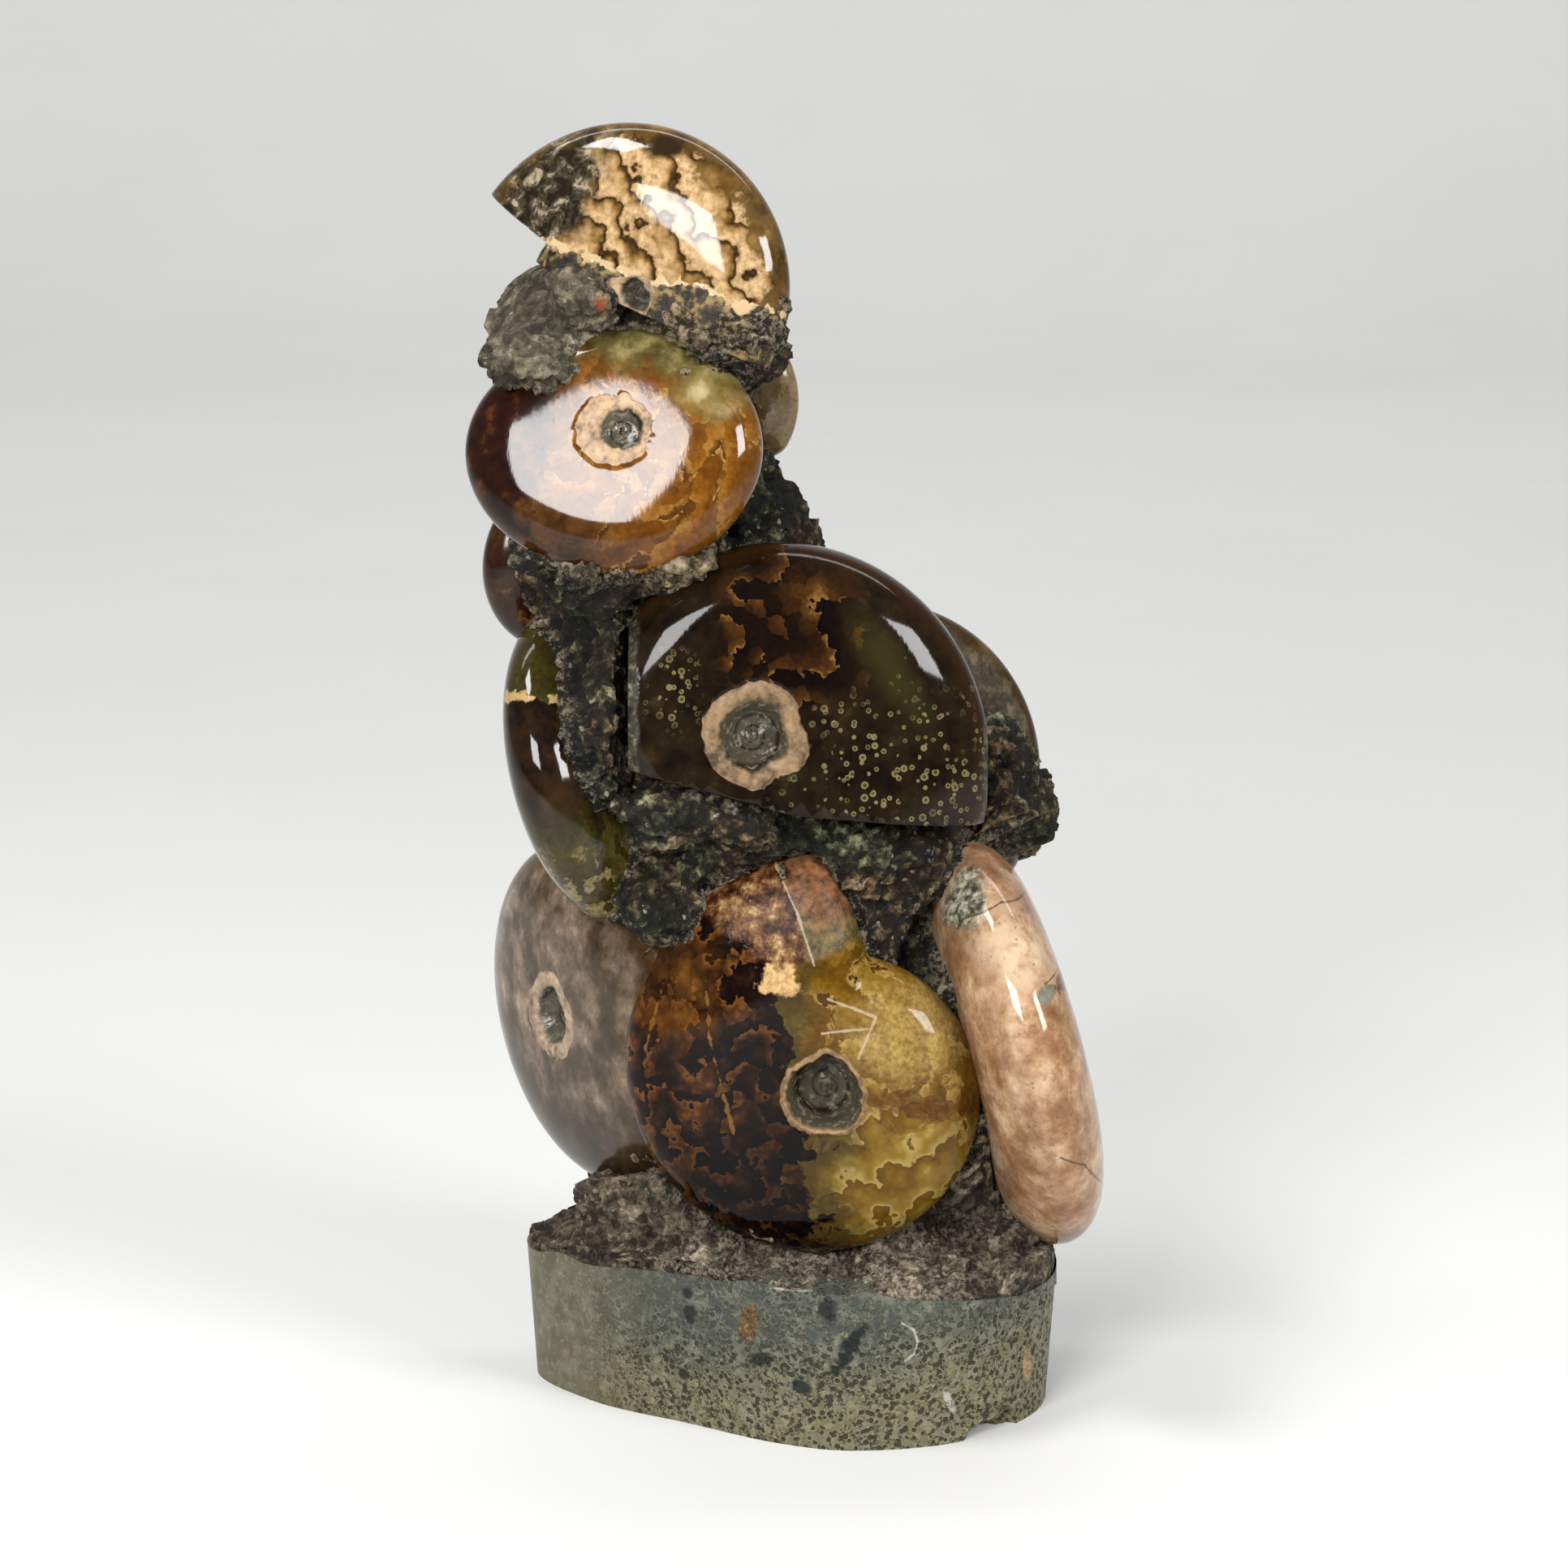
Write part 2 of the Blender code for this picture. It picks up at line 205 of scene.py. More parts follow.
SHELLS = (
    Shell(
        "ammonite_top", "tan_shell", (-17, -5.5, 137.1), (-0.29, -0.95, 0.09), 22.8, 0.29, 1.69, 147, 1,
        sawn=(((0, 0, 128.8), (-0.4, 0, -0.92)),), curve=(0.4, 2.0, 0.5), navel=0.6,
        pit=(0.15, 1.0, 0.07, 0.04), worn=0,
    ),
    Shell(
        "ammonite_upper", "amber_shell", (-19.5, -11, 121.5), (-0.08, -0.94, 0.32), 19.1, 0.28, 1.25, 230,
        1, curve=(0.3, 3.6, 0.5), pit=(0.13, 0.8, 0.05, 0.0),
        reach=(0.9, 0.765, 0.68, 0.74, 0.955, 0.925, 0.876, 0.897),
    ),
    Shell(
        "ammonite_centre", "dark_shell", (-4, -12, 86.2), (0.06, -0.99, 0.10), 33.7, 0.27, 2.6, -60, -1,
        sawn=(
            ((-18.4, 0, 0), (-1, 0, 0)), ((24.4, 0, 0), (1, 0, 0)), ((0, 0, 77.7), (-0.1, 0, -1)),
            ((0, 0, 77.9), (-0.27, 0, -0.96)),
        ),
        curve=(0.5, 2.2, 0.5), navel=0.82, pit=(0.145, 1.1, 0.0, 0.0), worn=0,
    ),
    Shell(
        "ammonite_left", "olive_shell", (-22.5, 1, 78.5), (0.90, -0.30, 0.29), 22.2, 0.29, 1.3, 70, -1,
        clear=3.0, curve=(0.5, 2.0, 0.5),
    ),
    Shell(
        "ammonite_lower", "amber_shell", (5.4, -13.5, 43.2), (-0.08, -0.98, 0.02), 28.6, 0.27, 1.8, 96, -1,
        curve=(0.3, 2.2, 0.52), navel=0.82, pit=(0.195, 1.6, 0.0, 0.0), worn=0.93,
    ),
    Shell(
        "ammonite_right", "pink_shell", (28.1, 0.5, 43.5), (0.96, 0.14, 0.24), 29, 0.26, 1.38, 105, -1,
        curve=(0.55, 2.0, 0.5),
    ),
    Shell(
        "ammonite_lower_left", "pink_shell", (-24.2, 5.5, 47.6), (-0.84, -0.54, -0.06), 24.3, 0.27, 1.2, 20,
        1, clear=5.0,
    ),
    Shell(
        "ammonite_behind_right", "olive_shell", (10, 9, 78), (0.2, -0.97, 0.1), 24.5, 0.26, 1.6, -50, -1,
        clear=0.0,
    ),
    Shell(
        "ammonite_behind_top", "olive_shell", (-8.8, 9, 125), (0.35, 0.93, 0.05), 11.8, 0.34, 1.6, 215, 1,
    ),
    Shell(
        "ammonite_behind_left", "dark_shell", (-27.3, 8, 103), (-0.62, 0.78, 0.05), 16, 0.32, 1.6, 250, 1,
    ),
    Shell("ammonite_back", "amber_shell", (-5, 14.5, 47), (-0.05, 0.98, 0.15), 20, 0.30, 1.8, 60, 1),
)


# How a material is written down

class Wire:
    """A socket of a material, on which Python's own arithmetic works."""

    def __init__(self, finish, socket):
        self.finish = finish
        self.socket = socket

    def sum(self, operation, *values):
        return self.finish.node("ShaderNodeMath", {"operation": operation}, values)

    def __add__(self, other):
        return self.sum("ADD", self, other)

    def __radd__(self, other):
        return self.sum("ADD", other, self)

    def __sub__(self, other):
        return self.sum("SUBTRACT", self, other)

    def __rsub__(self, other):
        return self.sum("SUBTRACT", other, self)

    def __mul__(self, other):
        return self.sum("MULTIPLY", self, other)

    def __rmul__(self, other):
        return self.sum("MULTIPLY", other, self)

    def __truediv__(self, other):
        return self.sum("DIVIDE", self, other)

    def __pow__(self, other):
        return self.sum("POWER", self, other)

    def __mod__(self, other):
        return self.sum("FLOORED_MODULO", self, other)

    def __abs__(self):
        return self.sum("ABSOLUTE", self)

    def fract(self):
        return self.sum("FRACT", self)

    def floor(self):
        return self.sum("FLOOR", self)

    def sine(self):
        return self.sum("SINE", self)

    def log(self, base):
        return self.sum("LOGARITHM", self, base)

    def bearing(self, across):
        """The angle of a place that lies this far up and that far across."""
        return self.sum("ARCTAN2", self, across)

    def within(self, low, high):
        return self.most(low).least(high)

    def least(self, other):
        return self.sum("MINIMUM", self, other)

    def most(self, other):
        return self.sum("MAXIMUM", self, other)


class Finish:
    """A material whose places are read in millimetres."""

    def __init__(self, name, roughness=0.5, specular=0.5):
        self.material = bpy.data.materials.new(name)
        self.material.use_nodes = True
        self.tree = self.material.node_tree
        self.shader = self.tree.nodes["Principled BSDF"]
        self.shader.inputs["Roughness"].default_value = roughness
        self.shader.inputs["Specular IOR Level"].default_value = specular
        where = self.node("ShaderNodeTexCoord", output="Object")
        self.place = self.node("ShaderNodeVectorMath", {"operation": "SCALE"}, {0: where, "Scale": 1000.0})
        self.x, self.y, self.z = self.apart(self.place)

    def node(self, kind, settings=(), inputs=(), output=0):
        made = self.tree.nodes.new(kind)
        for key, value in dict(settings).items():
            if key == "stops":
                ramp = made.color_ramp
                while len(ramp.elements) < len(value):
                    ramp.elements.new(0.5)
                for stop, (position, colour) in zip(ramp.elements, value):
                    stop.position = position
                    stop.color = (*colour, 1.0)
            else:
                setattr(made, key, value)
        for key, value in inputs.items() if isinstance(inputs, dict) else enumerate(inputs):
            if isinstance(value, Wire):
                self.tree.links.new(value.socket, made.inputs[key])
            else:
                made.inputs[key].default_value = value
        return Wire(self, made.outputs[output])

    def apart(self, vector):
        return [self.node("ShaderNodeSeparateXYZ", inputs={0: vector}, output=axis) for axis in "XYZ"]

    def moved(self, vector, by):
        return self.node("ShaderNodeVectorMath", {"operation": "ADD"}, {0: vector, 1: by})

    def noise(self, size, detail=3.0, roughness=0.55, distortion=0.0, vector=None):
        """Soft noise whose lumps are about this many millimetres across."""
        return self.node(
            "ShaderNodeTexNoise",
            inputs={"Vector": vector or self.place, "Scale": 1.0 / size, "Detail": detail,
                    "Roughness": roughness, "Distortion": distortion},
        )

    def cells(self, size, output="Distance", vector=None):
        """Grains about this many millimetres across: how far each place is from its grain's middle."""
        inputs = {"Vector": vector or self.place, "Scale": 1.0 / size}
        return self.node("ShaderNodeTexVoronoi", inputs=inputs, output=output)

    def grains(self, size):
        """Grains of the same size, each with a random number of its own."""
        return self.node("ShaderNodeSeparateColor", inputs={0: self.cells(size, "Color")}, output=0)

    def lobed(self, vector, size, hold):
        """Places drawn towards the middles of small round grains, for lobed edges on what they paint."""
        middle = self.cells(size, "Position", vector)
        away = self.node("ShaderNodeVectorMath", {"operation": "SUBTRACT"}, {0: middle, 1: vector})
        away = self.node("ShaderNodeVectorMath", {"operation": "SCALE"}, {0: away, "Scale": hold})
        return self.moved(vector, away)

    def along(self, vector, direction):
        return self.node(
            "ShaderNodeVectorMath", {"operation": "DOT_PRODUCT"}, {0: vector, 1: direction}, "Value",
        )

    def shade(self, value, low, high):
        """0 below low, 1 above high, and smooth between."""
        if low > high:
            return 1 - self.shade(value, high, low)
        return self.node(
            "ShaderNodeMapRange", {"interpolation_type": "SMOOTHSTEP"}, {0: value, 1: low, 2: high},
        )

    def ramp(self, value, *stops):
        return self.node("ShaderNodeValToRGB", {"stops": stops}, {0: value})

    def mix(self, factor, low, high, blend="MIX"):
        def colour(value):
            return value if isinstance(value, Wire) else (*value, 1.0)
        return self.node(
            "ShaderNodeMix", {"data_type": "RGBA", "blend_type": blend},
            {0: factor, 6: colour(low), 7: colour(high)}, output=2,
        )

    def painted(self, colour, mask, value, *stops):
        """The colour with a ramp laid over it as far as the mask says."""
        return self.mix(mask, colour, self.ramp(value, *stops))

    def made_mark(self, name):
        """A number that was stored with the piece's points."""
        return self.node("ShaderNodeAttribute", {"attribute_name": name}, output="Fac")

    def patch(self, x, z, half_width, half_height, soft=0.25, ragged=0.0, size=3.0, tilt=0.0):
        """1 inside an oval seen from the front, with an edge as ragged as asked for."""
        cosine, sine = math.cos(math.radians(tilt)), math.sin(math.radians(tilt))
        across = ((self.x - x) * cosine + (self.z - z) * sine) / half_width
        along = ((self.z - z) * cosine - (self.x - x) * sine) / half_height
        far = (across * across + along * along) ** 0.5
        if ragged:
            far = far + (self.noise(size, 4.0) - 0.5) * ragged
        return self.shade(far, 1 + soft, 1 - soft)

    def line(self, start, end, width, ragged):
        """1 along a straight stroke between two places of the front, given as across and up."""
        run, rise = end[0] - start[0], end[1] - start[1]
        length = run * run + rise * rise
        across, up = self.x - start[0], self.z - start[1]
        share = ((across * run + up * rise) / length).within(0.0, 1.0)
        across, up = across - share * run, up - share * rise
        far = (across * across + up * up) ** 0.5 + (self.noise(1.2) - 0.5) * ragged
        return self.shade(far, width * 1.5, width * 0.5) * self.shade(self.y, 4.0, 0.0)

    def bump(self, height, distance, strength=1.0):
        """Relief in millimetres."""
        bump = self.node(
            "ShaderNodeBump", inputs={"Strength": strength, "Distance": distance * MM, "Height": height}
        )
        self.tree.links.new(bump.socket, self.shader.inputs["Normal"])

    def use(self, **sockets):
        for name, value in sockets.items():
            self.tree.links.new(value.socket, self.shader.inputs[name.replace("_", " ")])
        return self.material


# Finishes

def rough_rock():
    f = Finish("rough_rock", roughness=0.7, specular=0.28)
    raised = f.made_mark("raised")
    broad = f.noise(10.0, 3.0, 0.55)
    middle = f.noise(2.6, 5.0, 0.65)
    fine = f.noise(0.7, 4.0, 0.75)
    crumb = f.grains(1.1)
    # the raised crumbs and grit are painted paler and the hollows between them darker: painted highlight and
    # shade, laid over tone that varies at random
    relief_shaded_tone = raised * 0.45 + (broad - 0.5) * 1.3 + (middle - 0.5) * 1.3
    relief_shaded_tone = relief_shaded_tone + (fine - 0.5) * 1.3 + (crumb - 0.5) * 0.5
    relief_shaded_tone = f.shade(relief_shaded_tone, -0.6, 0.85)
    dark_rock = f.ramp(
        relief_shaded_tone, (0.0, (0.003, 0.0026, 0.002)), (0.3, (0.012, 0.01, 0.0065)), (0.52, (0.042, 0.036, 0.023)),
        (0.74, (0.13, 0.115, 0.077)), (1.0, (0.38, 0.34, 0.25)),
    )
    tint = f.mix(f.shade(f.noise(12.0), 0.42, 0.6), (0.85, 1.0, 0.8), (1.35, 0.98, 0.7))
    colour = f.mix(1.0, dark_rock, tint, "MULTIPLY")
    # the slope above the foot and the knob on the left shoulder are paler, and the crust below the top
    # shell is brown
    slope = f.shade(f.z + (middle - 0.5) * 14, 38.0, 26.0)
    pale = f.ramp(
        relief_shaded_tone, (0.0, (0.018, 0.013, 0.008)), (0.2, (0.045, 0.034, 0.021)), (0.45, (0.105, 0.081, 0.052)),
        (0.75, (0.22, 0.175, 0.12)), (1.0, (0.52, 0.44, 0.33)),
    )
    colour = f.mix(slope * 0.85, colour, pale)
    bright = f.patch(8.0, 21.5, 19.0, 4.5, 0.6, 0.9, 4.0) * f.shade(fine, 0.42, 0.6)
    colour = f.mix(bright * 0.6, colour, f.mix(crumb, (0.12, 0.09, 0.06), (0.5, 0.42, 0.33)))
    knob = f.patch(KNOB.x, KNOB.z, 9.0, 10.0, 0.4, 0.6)
    colour = f.painted(
        colour, knob * 0.85, relief_shaded_tone, (0.0, (0.035, 0.029, 0.018)), (0.3, (0.085, 0.073, 0.046)),
        (0.6, (0.15, 0.13, 0.084)), (1.0, (0.3, 0.265, 0.18)),
    )
    brown = f.patch(-5.0, 133.5, 9.0, 6.0, 0.3, 0.6) * f.shade(f.y, 0.0, -3.0)
    colour = f.painted(
        colour, brown * 0.85, relief_shaded_tone, (0.0, (0.006, 0.003, 0.002)), (0.5, (0.04, 0.025, 0.01)),
        (0.8, (0.14, 0.085, 0.03)), (1.0, (0.4, 0.28, 0.1)),
    )
    crust = f.patch(-17.0, 108.6, 11.0, 2.6, 0.5, 1.2, 2.5) * f.shade(f.y, -6.0, -10.0)
    colour = f.painted(
        colour, crust * 0.8, relief_shaded_tone, (0.0, (0.02, 0.014, 0.006)), (0.4, (0.12, 0.085, 0.04)),
        (0.7, (0.38, 0.29, 0.16)), (1.0, (0.6, 0.5, 0.34)),
    )
    rim = f.made_mark("rim")
    colour = f.mix(
        rim * f.shade(fine + raised * 0.12 + (middle - 0.5) * 0.4, 0.46, 0.6) * 0.85, colour,
        (0.3, 0.255, 0.18),
    )
    orange = f.patch(-21.4, 137.4, 0.6, 0.9, 0.4, 1.6, 1.0) * f.shade(f.y, -4.0, -7.0)
    colour = f.mix(orange * 0.8, colour, (0.3, 0.065, 0.018))
    flecks = f.shade(f.grains(0.5), 0.96, 0.99) * f.shade(middle, 0.45, 0.6)
    colour = f.mix(flecks * 0.7, colour, (0.4, 0.37, 0.3))
    f.bump(middle * 0.5 + fine * 0.9, 0.9)
    return f.use(Base_Color=colour, Roughness=0.85 - flecks * 0.4 - f.shade(fine, 0.5, 0.7) * 0.4)


def ground_stone():
    f = Finish("ground_stone", roughness=0.42, specular=0.3)
    broad = f.noise(14.0, 3.0)
    mottle = f.noise(2.4, 5.0, 0.65)
    fine = f.noise(0.7, 3.0, 0.6)
    front = f.shade(f.y, 0.0, -4.0)
    low = f.shade(f.z + f.x * -0.14 + (broad - 0.5) * 10, 15.0, 4.0)
    colour = f.mix(low, (0.04, 0.048, 0.04), (0.115, 0.108, 0.052))
    colour = f.mix(f.shade(f.x + (broad - 0.5) * 12, -12.0, -27.0) * 0.8, colour, (0.085, 0.072, 0.034))
    colour = f.mix(f.shade(mottle, 0.38, 0.7) * 0.65, colour, (0.17, 0.17, 0.125))
    colour = f.mix(f.shade(f.noise(0.9, 3.0, 0.7), 0.52, 0.68) * 0.5, colour, (0.24, 0.22, 0.14))
    many = f.shade(broad * 0.6 + low * 0.5 + mottle * 0.3, 0.26, 0.62) * f.shade(f.x, -28.0, -17.0)
    wormy = f.shade(abs(fine - 0.5), 0.045, 0.02) * f.shade(f.noise(0.9), 0.46, 0.56)
    pores = f.shade(f.cells(0.85) + (fine - 0.5) * 0.5, 0.46, 0.3).most(wormy * 0.9)
    holes = pores * many * f.shade(f.noise(1.3, 2.0), 0.36, 0.5)
    # the rims round the pores are paler
    pale_pore_rims = f.shade(f.cells(0.85), 0.62, 0.48) * many * 0.4
    colour = f.mix(pale_pore_rims, colour, f.mix(low, (0.15, 0.15, 0.11), (0.26, 0.23, 0.12)))
    # the pores are painted near black: painted shade in holes that the surface has only as a bump
    colour = f.mix(holes * 0.92, colour, (0.018, 0.016, 0.007))
    for x, z, half_width, half_height, tilt in (
        (7.8, 13.1, 0.8, 4.2, -30), (8.4, 14.6, 0.9, 2.0, -38), (5.3, 18.0, 1.0, 1.5, 10),
        (-11.5, 14.5, 0.7, 1.2, 0), (1.9, 7.9, 1.2, 0.8, -20), (-12.3, 6.5, 0.7, 0.7, 0),
        (-2.6, 10.6, 1.3, 0.8, 15), (-11.8, 17.2, 0.6, 0.7, 0),
    ):
        pit = f.patch(x, z, half_width, half_height, 0.3, 2.2, 1.3, tilt)
        colour = f.mix(pit * front * 0.95, colour, (0.006, 0.009, 0.007))
    rust = f.ramp(fine, (0.35, (0.05, 0.02, 0.006)), (0.6, (0.15, 0.085, 0.03)), (0.75, (0.3, 0.2, 0.09)))
    colour = f.mix(f.patch(-4.3, 14.9, 1.2, 2.5, 0.12, 1.3, 1.6, -8) * front, colour, rust)
    colour = f.mix(f.patch(29.9, 7.6, 0.55, 2.6, 0.12, 1.6, 1.6, 4) * front, colour, (0.3, 0.19, 0.09))
    for start, end in (
        ((14.2, 16.4), (15.6, 15.4)), ((15.6, 15.4), (16.1, 13.9)), ((16.1, 13.9), (15.7, 12.3)),
        ((15.7, 12.3), (14.6, 11.5)), ((-1.6, 20.0), (3.3, 20.3)),
    ):
        colour = f.mix(f.line(start, end, 0.13, ragged=0.5) * 0.7, colour, (0.4, 0.39, 0.3))
    colour = f.mix(
        f.patch(20.1, 5.4, 0.45, 1.5, 0.2, 1.6, 1.0, 20) * front * 0.8, colour, (0.36, 0.36, 0.32),
    )
    f.bump(holes * -1.2 + mottle * 0.2 + fine * 0.15, 0.3)
    return f.use(Base_Color=colour, Roughness=0.34 + holes * 0.4 + mottle * 0.15)


def polished_shell(name, shell, bands, count=9, folds=0.32, marks=None, ring=(0.3, 0.2, 0.12), polish=0.07,
                   lobes=(2.1, 0.75), gloss=0.32):
    """Polished shell: chambers between leafy suture lines, with a stony ring and a dark pit at the navel.

    The bands are colours across a chamber, from one suture line to the next, and the count is how many
    chambers a whorl has. The marks paint what is this shell's own over them, and may set where it is dull.
    """
    f = Finish(name, roughness=polish, specular=gloss)
    large, small = lobes
    f.leafy = f.lobed(f.lobed(f.place, small, 0.45), large, 0.55)
    right, up, _ = shell.axes()
    away = f.moved(f.leafy, -shell.centre)
    across, above = f.along(away, right), f.along(away, up)
    reach = (across * across + above * above) ** 0.5 / shell.radius
    angle = above.bearing(across)
    across, above, _ = f.apart(f.node("ShaderNodeAttribute", {"attribute_name": "coil"}, output="Vector"))
    f.share = (across * across + above * above) ** 0.5
    whorl = above.bearing(across)
    f.cloud = f.noise(3.4, 5.0, 0.6)
    wander = f.noise(7.0, 2.0, 0.5, vector=f.leafy)
    wave = (reach * 19.0 + wander * 2.0).sine() * folds - reach * reach * 1.1 + (wander - 0.5) * 1.3
    lobe = f.cells(large) * 0.34 + f.cells(small * 1.1) * 0.14
    f.phase = (shell.mouth - angle) * (shell.turn * count / FULL_TURN) + wave + lobe * 0.4
    part = f.phase.fract()
    chamber = f.node(
        "ShaderNodeTexWhiteNoise", {"noise_dimensions": "1D"}, {"W": f.phase.floor() % float(count)}
    )
    f.feather = f.noise(0.7, 4.0, 0.65)
    shown = part + (f.cloud - 0.5) * 0.28 * f.shade(part, 0.1, 0.3)
    shown = shown + (chamber - 0.5) * 0.3 * f.shade(part, 0.15, 0.4)
    colour = f.ramp(shown, *bands)
    colour = f.mix(
        1.0, colour, f.ramp(f.feather, (0.3, (0.66, 0.64, 0.6)), (0.7, (1.25, 1.25, 1.25))), "MULTIPLY",
    )
    f.dull = 0.0
    if marks:
        colour = marks(f, colour)
    size = shell.pit[0]
    fleck = f.noise(0.9, 4.0, 0.6)
    dark_ring = tuple(0.3 * channel for channel in ring)
    pale_ring = tuple(min(0.7, 1.6 * channel) for channel in ring)
    stony = f.ramp(fleck * 0.5 + f.cloud * 0.5, (0.36, dark_ring), (0.5, ring), (0.66, pale_ring))
    rim = f.shade(f.share + (f.cloud - 0.5) * 0.05, RIM_END + 0.01, RIM_END - 0.002)
    colour = f.mix(rim, colour, stony)
    # the furrows between the inner whorls in the pit are painted darker than the whorls: painted shade
    turns = ((f.share + 0.001).log(WHORL_STEP) - whorl * (shell.turn / FULL_TURN)).fract()
    furrow = f.shade(turns, 0.8, 0.98) + f.shade(turns, 0.2, 0.05)
    inner = f.mix(furrow, (0.05, 0.046, 0.03), (0.008, 0.007, 0.004))
    inner = f.mix(f.shade(fleck, 0.5, 0.7), inner, (0.17, 0.155, 0.11))
    colour = f.mix(f.shade(f.share, size + 0.012, size - 0.008) * 0.95, colour, inner)
    fine = f.node("ShaderNodeVectorMath", {"operation": "MULTIPLY"}, {0: f.place, 1: (1.0, 1.0, 0.12)})
    scratch = f.noise(0.5, 2.0, 0.5, vector=fine)
    f.bump(scratch * 0.04 + fleck * rim * 0.5 + fleck * f.dull, 0.3, 0.5)
    dull = (f.dull + rim * f.shade(f.share, size - 0.02, size + 0.02)).least(1.0)
    return f.use(Base_Color=colour, Roughness=f.shade(scratch, 0.6, 0.75) * 0.06 + dull * 0.5 + polish)


def shell_finishes():
    """One finish for each shell, after the part of the photograph that shows it."""
    made = {}
    by_name = {shell.name: shell for shell in SHELLS}

    def top_marks(f, colour):
        lobe = f.cells(3.6) * 0.95 + f.cells(1.5) * 0.42 + f.cells(0.7) * 0.14
        leaf = (f.along(f.place, (0.2, 0.0, 0.13)) + lobe + (f.noise(6.0, 2.0) - 0.5) * 1.4).fract()
        colour = f.ramp(
            leaf + (f.feather - 0.5) * 0.16, (0.0, (0.02, 0.011, 0.003)), (0.08, (0.06, 0.032, 0.009)),
            (0.13, (0.32, 0.2, 0.09)), (0.32, (0.5, 0.34, 0.18)), (0.6, (0.4, 0.26, 0.12)),
            (0.82, (0.22, 0.12, 0.035)), (0.96, (0.05, 0.025, 0.006)),
        )
        colour = f.mix(
            1.0, colour, f.ramp(f.feather, (0.35, (0.6, 0.56, 0.48)), (0.65, (1.15, 1.15, 1.15))),
            "MULTIPLY",
        )
        amber = f.ramp(
            f.cloud, (0.35, (0.022, 0.013, 0.003)), (0.6, (0.1, 0.052, 0.01)), (0.8, (0.26, 0.15, 0.045)),
        )
        outside = f.shade(f.share + (f.cloud - 0.5) * 0.5 - lobe * 0.1, 0.76, 0.82)
        colour = f.mix(outside * 0.92, colour, amber)
        dark = f.patch(-28.3, 148.5, 4.8, 9.5, 0.3, 1.1, 3.0, -38)
        mottled = f.ramp(
            f.noise(2.0, 5.0, 0.65, 0.4), (0.44, (0.012, 0.008, 0.004)), (0.54, (0.05, 0.038, 0.022)),
            (0.64, (0.3, 0.24, 0.16)),
        )
        colour = f.mix(dark, colour, mottled)
        colour = f.mix(f.patch(-13.8, 155.3, 2.3, 1.3, 0.4, 0.8, 1.5), colour, (0.02, 0.011, 0.004))
        # the scalloped lip, and rough, broken shell below it
        height = f.along(f.leafy, (0.28, 0.0, 1.0)) + (f.noise(5.0, 2.0) - 0.5) * 4.0
        rough = f.shade(height, 136.0, 135.7)
        lip = f.shade(height, 136.6, 136.4) * (1 - rough)
        broken = f.ramp(
            f.noise(1.2, 4.0), (0.42, (0.008, 0.005, 0.002)), (0.52, (0.04, 0.026, 0.01)),
            (0.64, (0.22, 0.15, 0.05)),
        )
        colour = f.mix(rough, colour, broken)
        f.dull = rough
        return f.mix(lip, colour, (0.5, 0.36, 0.2))

    made["ammonite_top"] = polished_shell(
        "tan_leaves", by_name["ammonite_top"], ((0.0, (0.04, 0.02, 0.006)), (1.0, (0.4, 0.26, 0.12))),
        marks=top_marks, lobes=(1.7, 0.7),
    )

    def upper_marks(f, colour):
        pale = f.ramp(
            f.cloud, (0.35, (0.09, 0.07, 0.016)), (0.55, (0.2, 0.15, 0.05)), (0.75, (0.44, 0.36, 0.2)),
        )
        olive = f.ramp(
            f.cloud, (0.35, (0.02, 0.014, 0.003)), (0.55, (0.085, 0.066, 0.018)), (0.75, (0.26, 0.2, 0.08)),
        )
        colour = f.mix(f.shade(f.z + f.x * 0.25 + (f.cloud - 0.5) * 7, 123.5, 127.5), colour, olive)
        colour = f.mix(f.patch(-8.6, 127.6, 4.0, 3.4, 0.5, 1.2, 2.5) * 0.8, colour, pale)
        red = f.shade(f.x + (f.cloud - 0.5) * 9 - (f.z - 121) * 0.25, -24.0, -30.0)
        colour = f.painted(
            colour, red, f.cloud, (0.35, (0.005, 0.0012, 0.001)), (0.55, (0.02, 0.005, 0.002)),
            (0.75, (0.12, 0.04, 0.009)),
        )
        low = f.patch(-27.5, 110.5, 9.0, 4.5, 0.5, 0.9)
        return f.painted(
            colour, low * 0.85, f.cloud, (0.4, (0.007, 0.003, 0.001)), (0.7, (0.08, 0.03, 0.008)),
        )

    made["ammonite_upper"] = polished_shell(
        "amber_calcite", by_name["ammonite_upper"],
        (
            (0.0, (0.34, 0.2, 0.055)), (0.04, (0.13, 0.05, 0.005)), (0.35, (0.09, 0.028, 0.002)),
            (0.7, (0.16, 0.058, 0.005)), (0.93, (0.22, 0.1, 0.016)), (1.0, (0.07, 0.024, 0.003)),
        ),
        count=9, marks=upper_marks, ring=(0.36, 0.24, 0.145),
    )

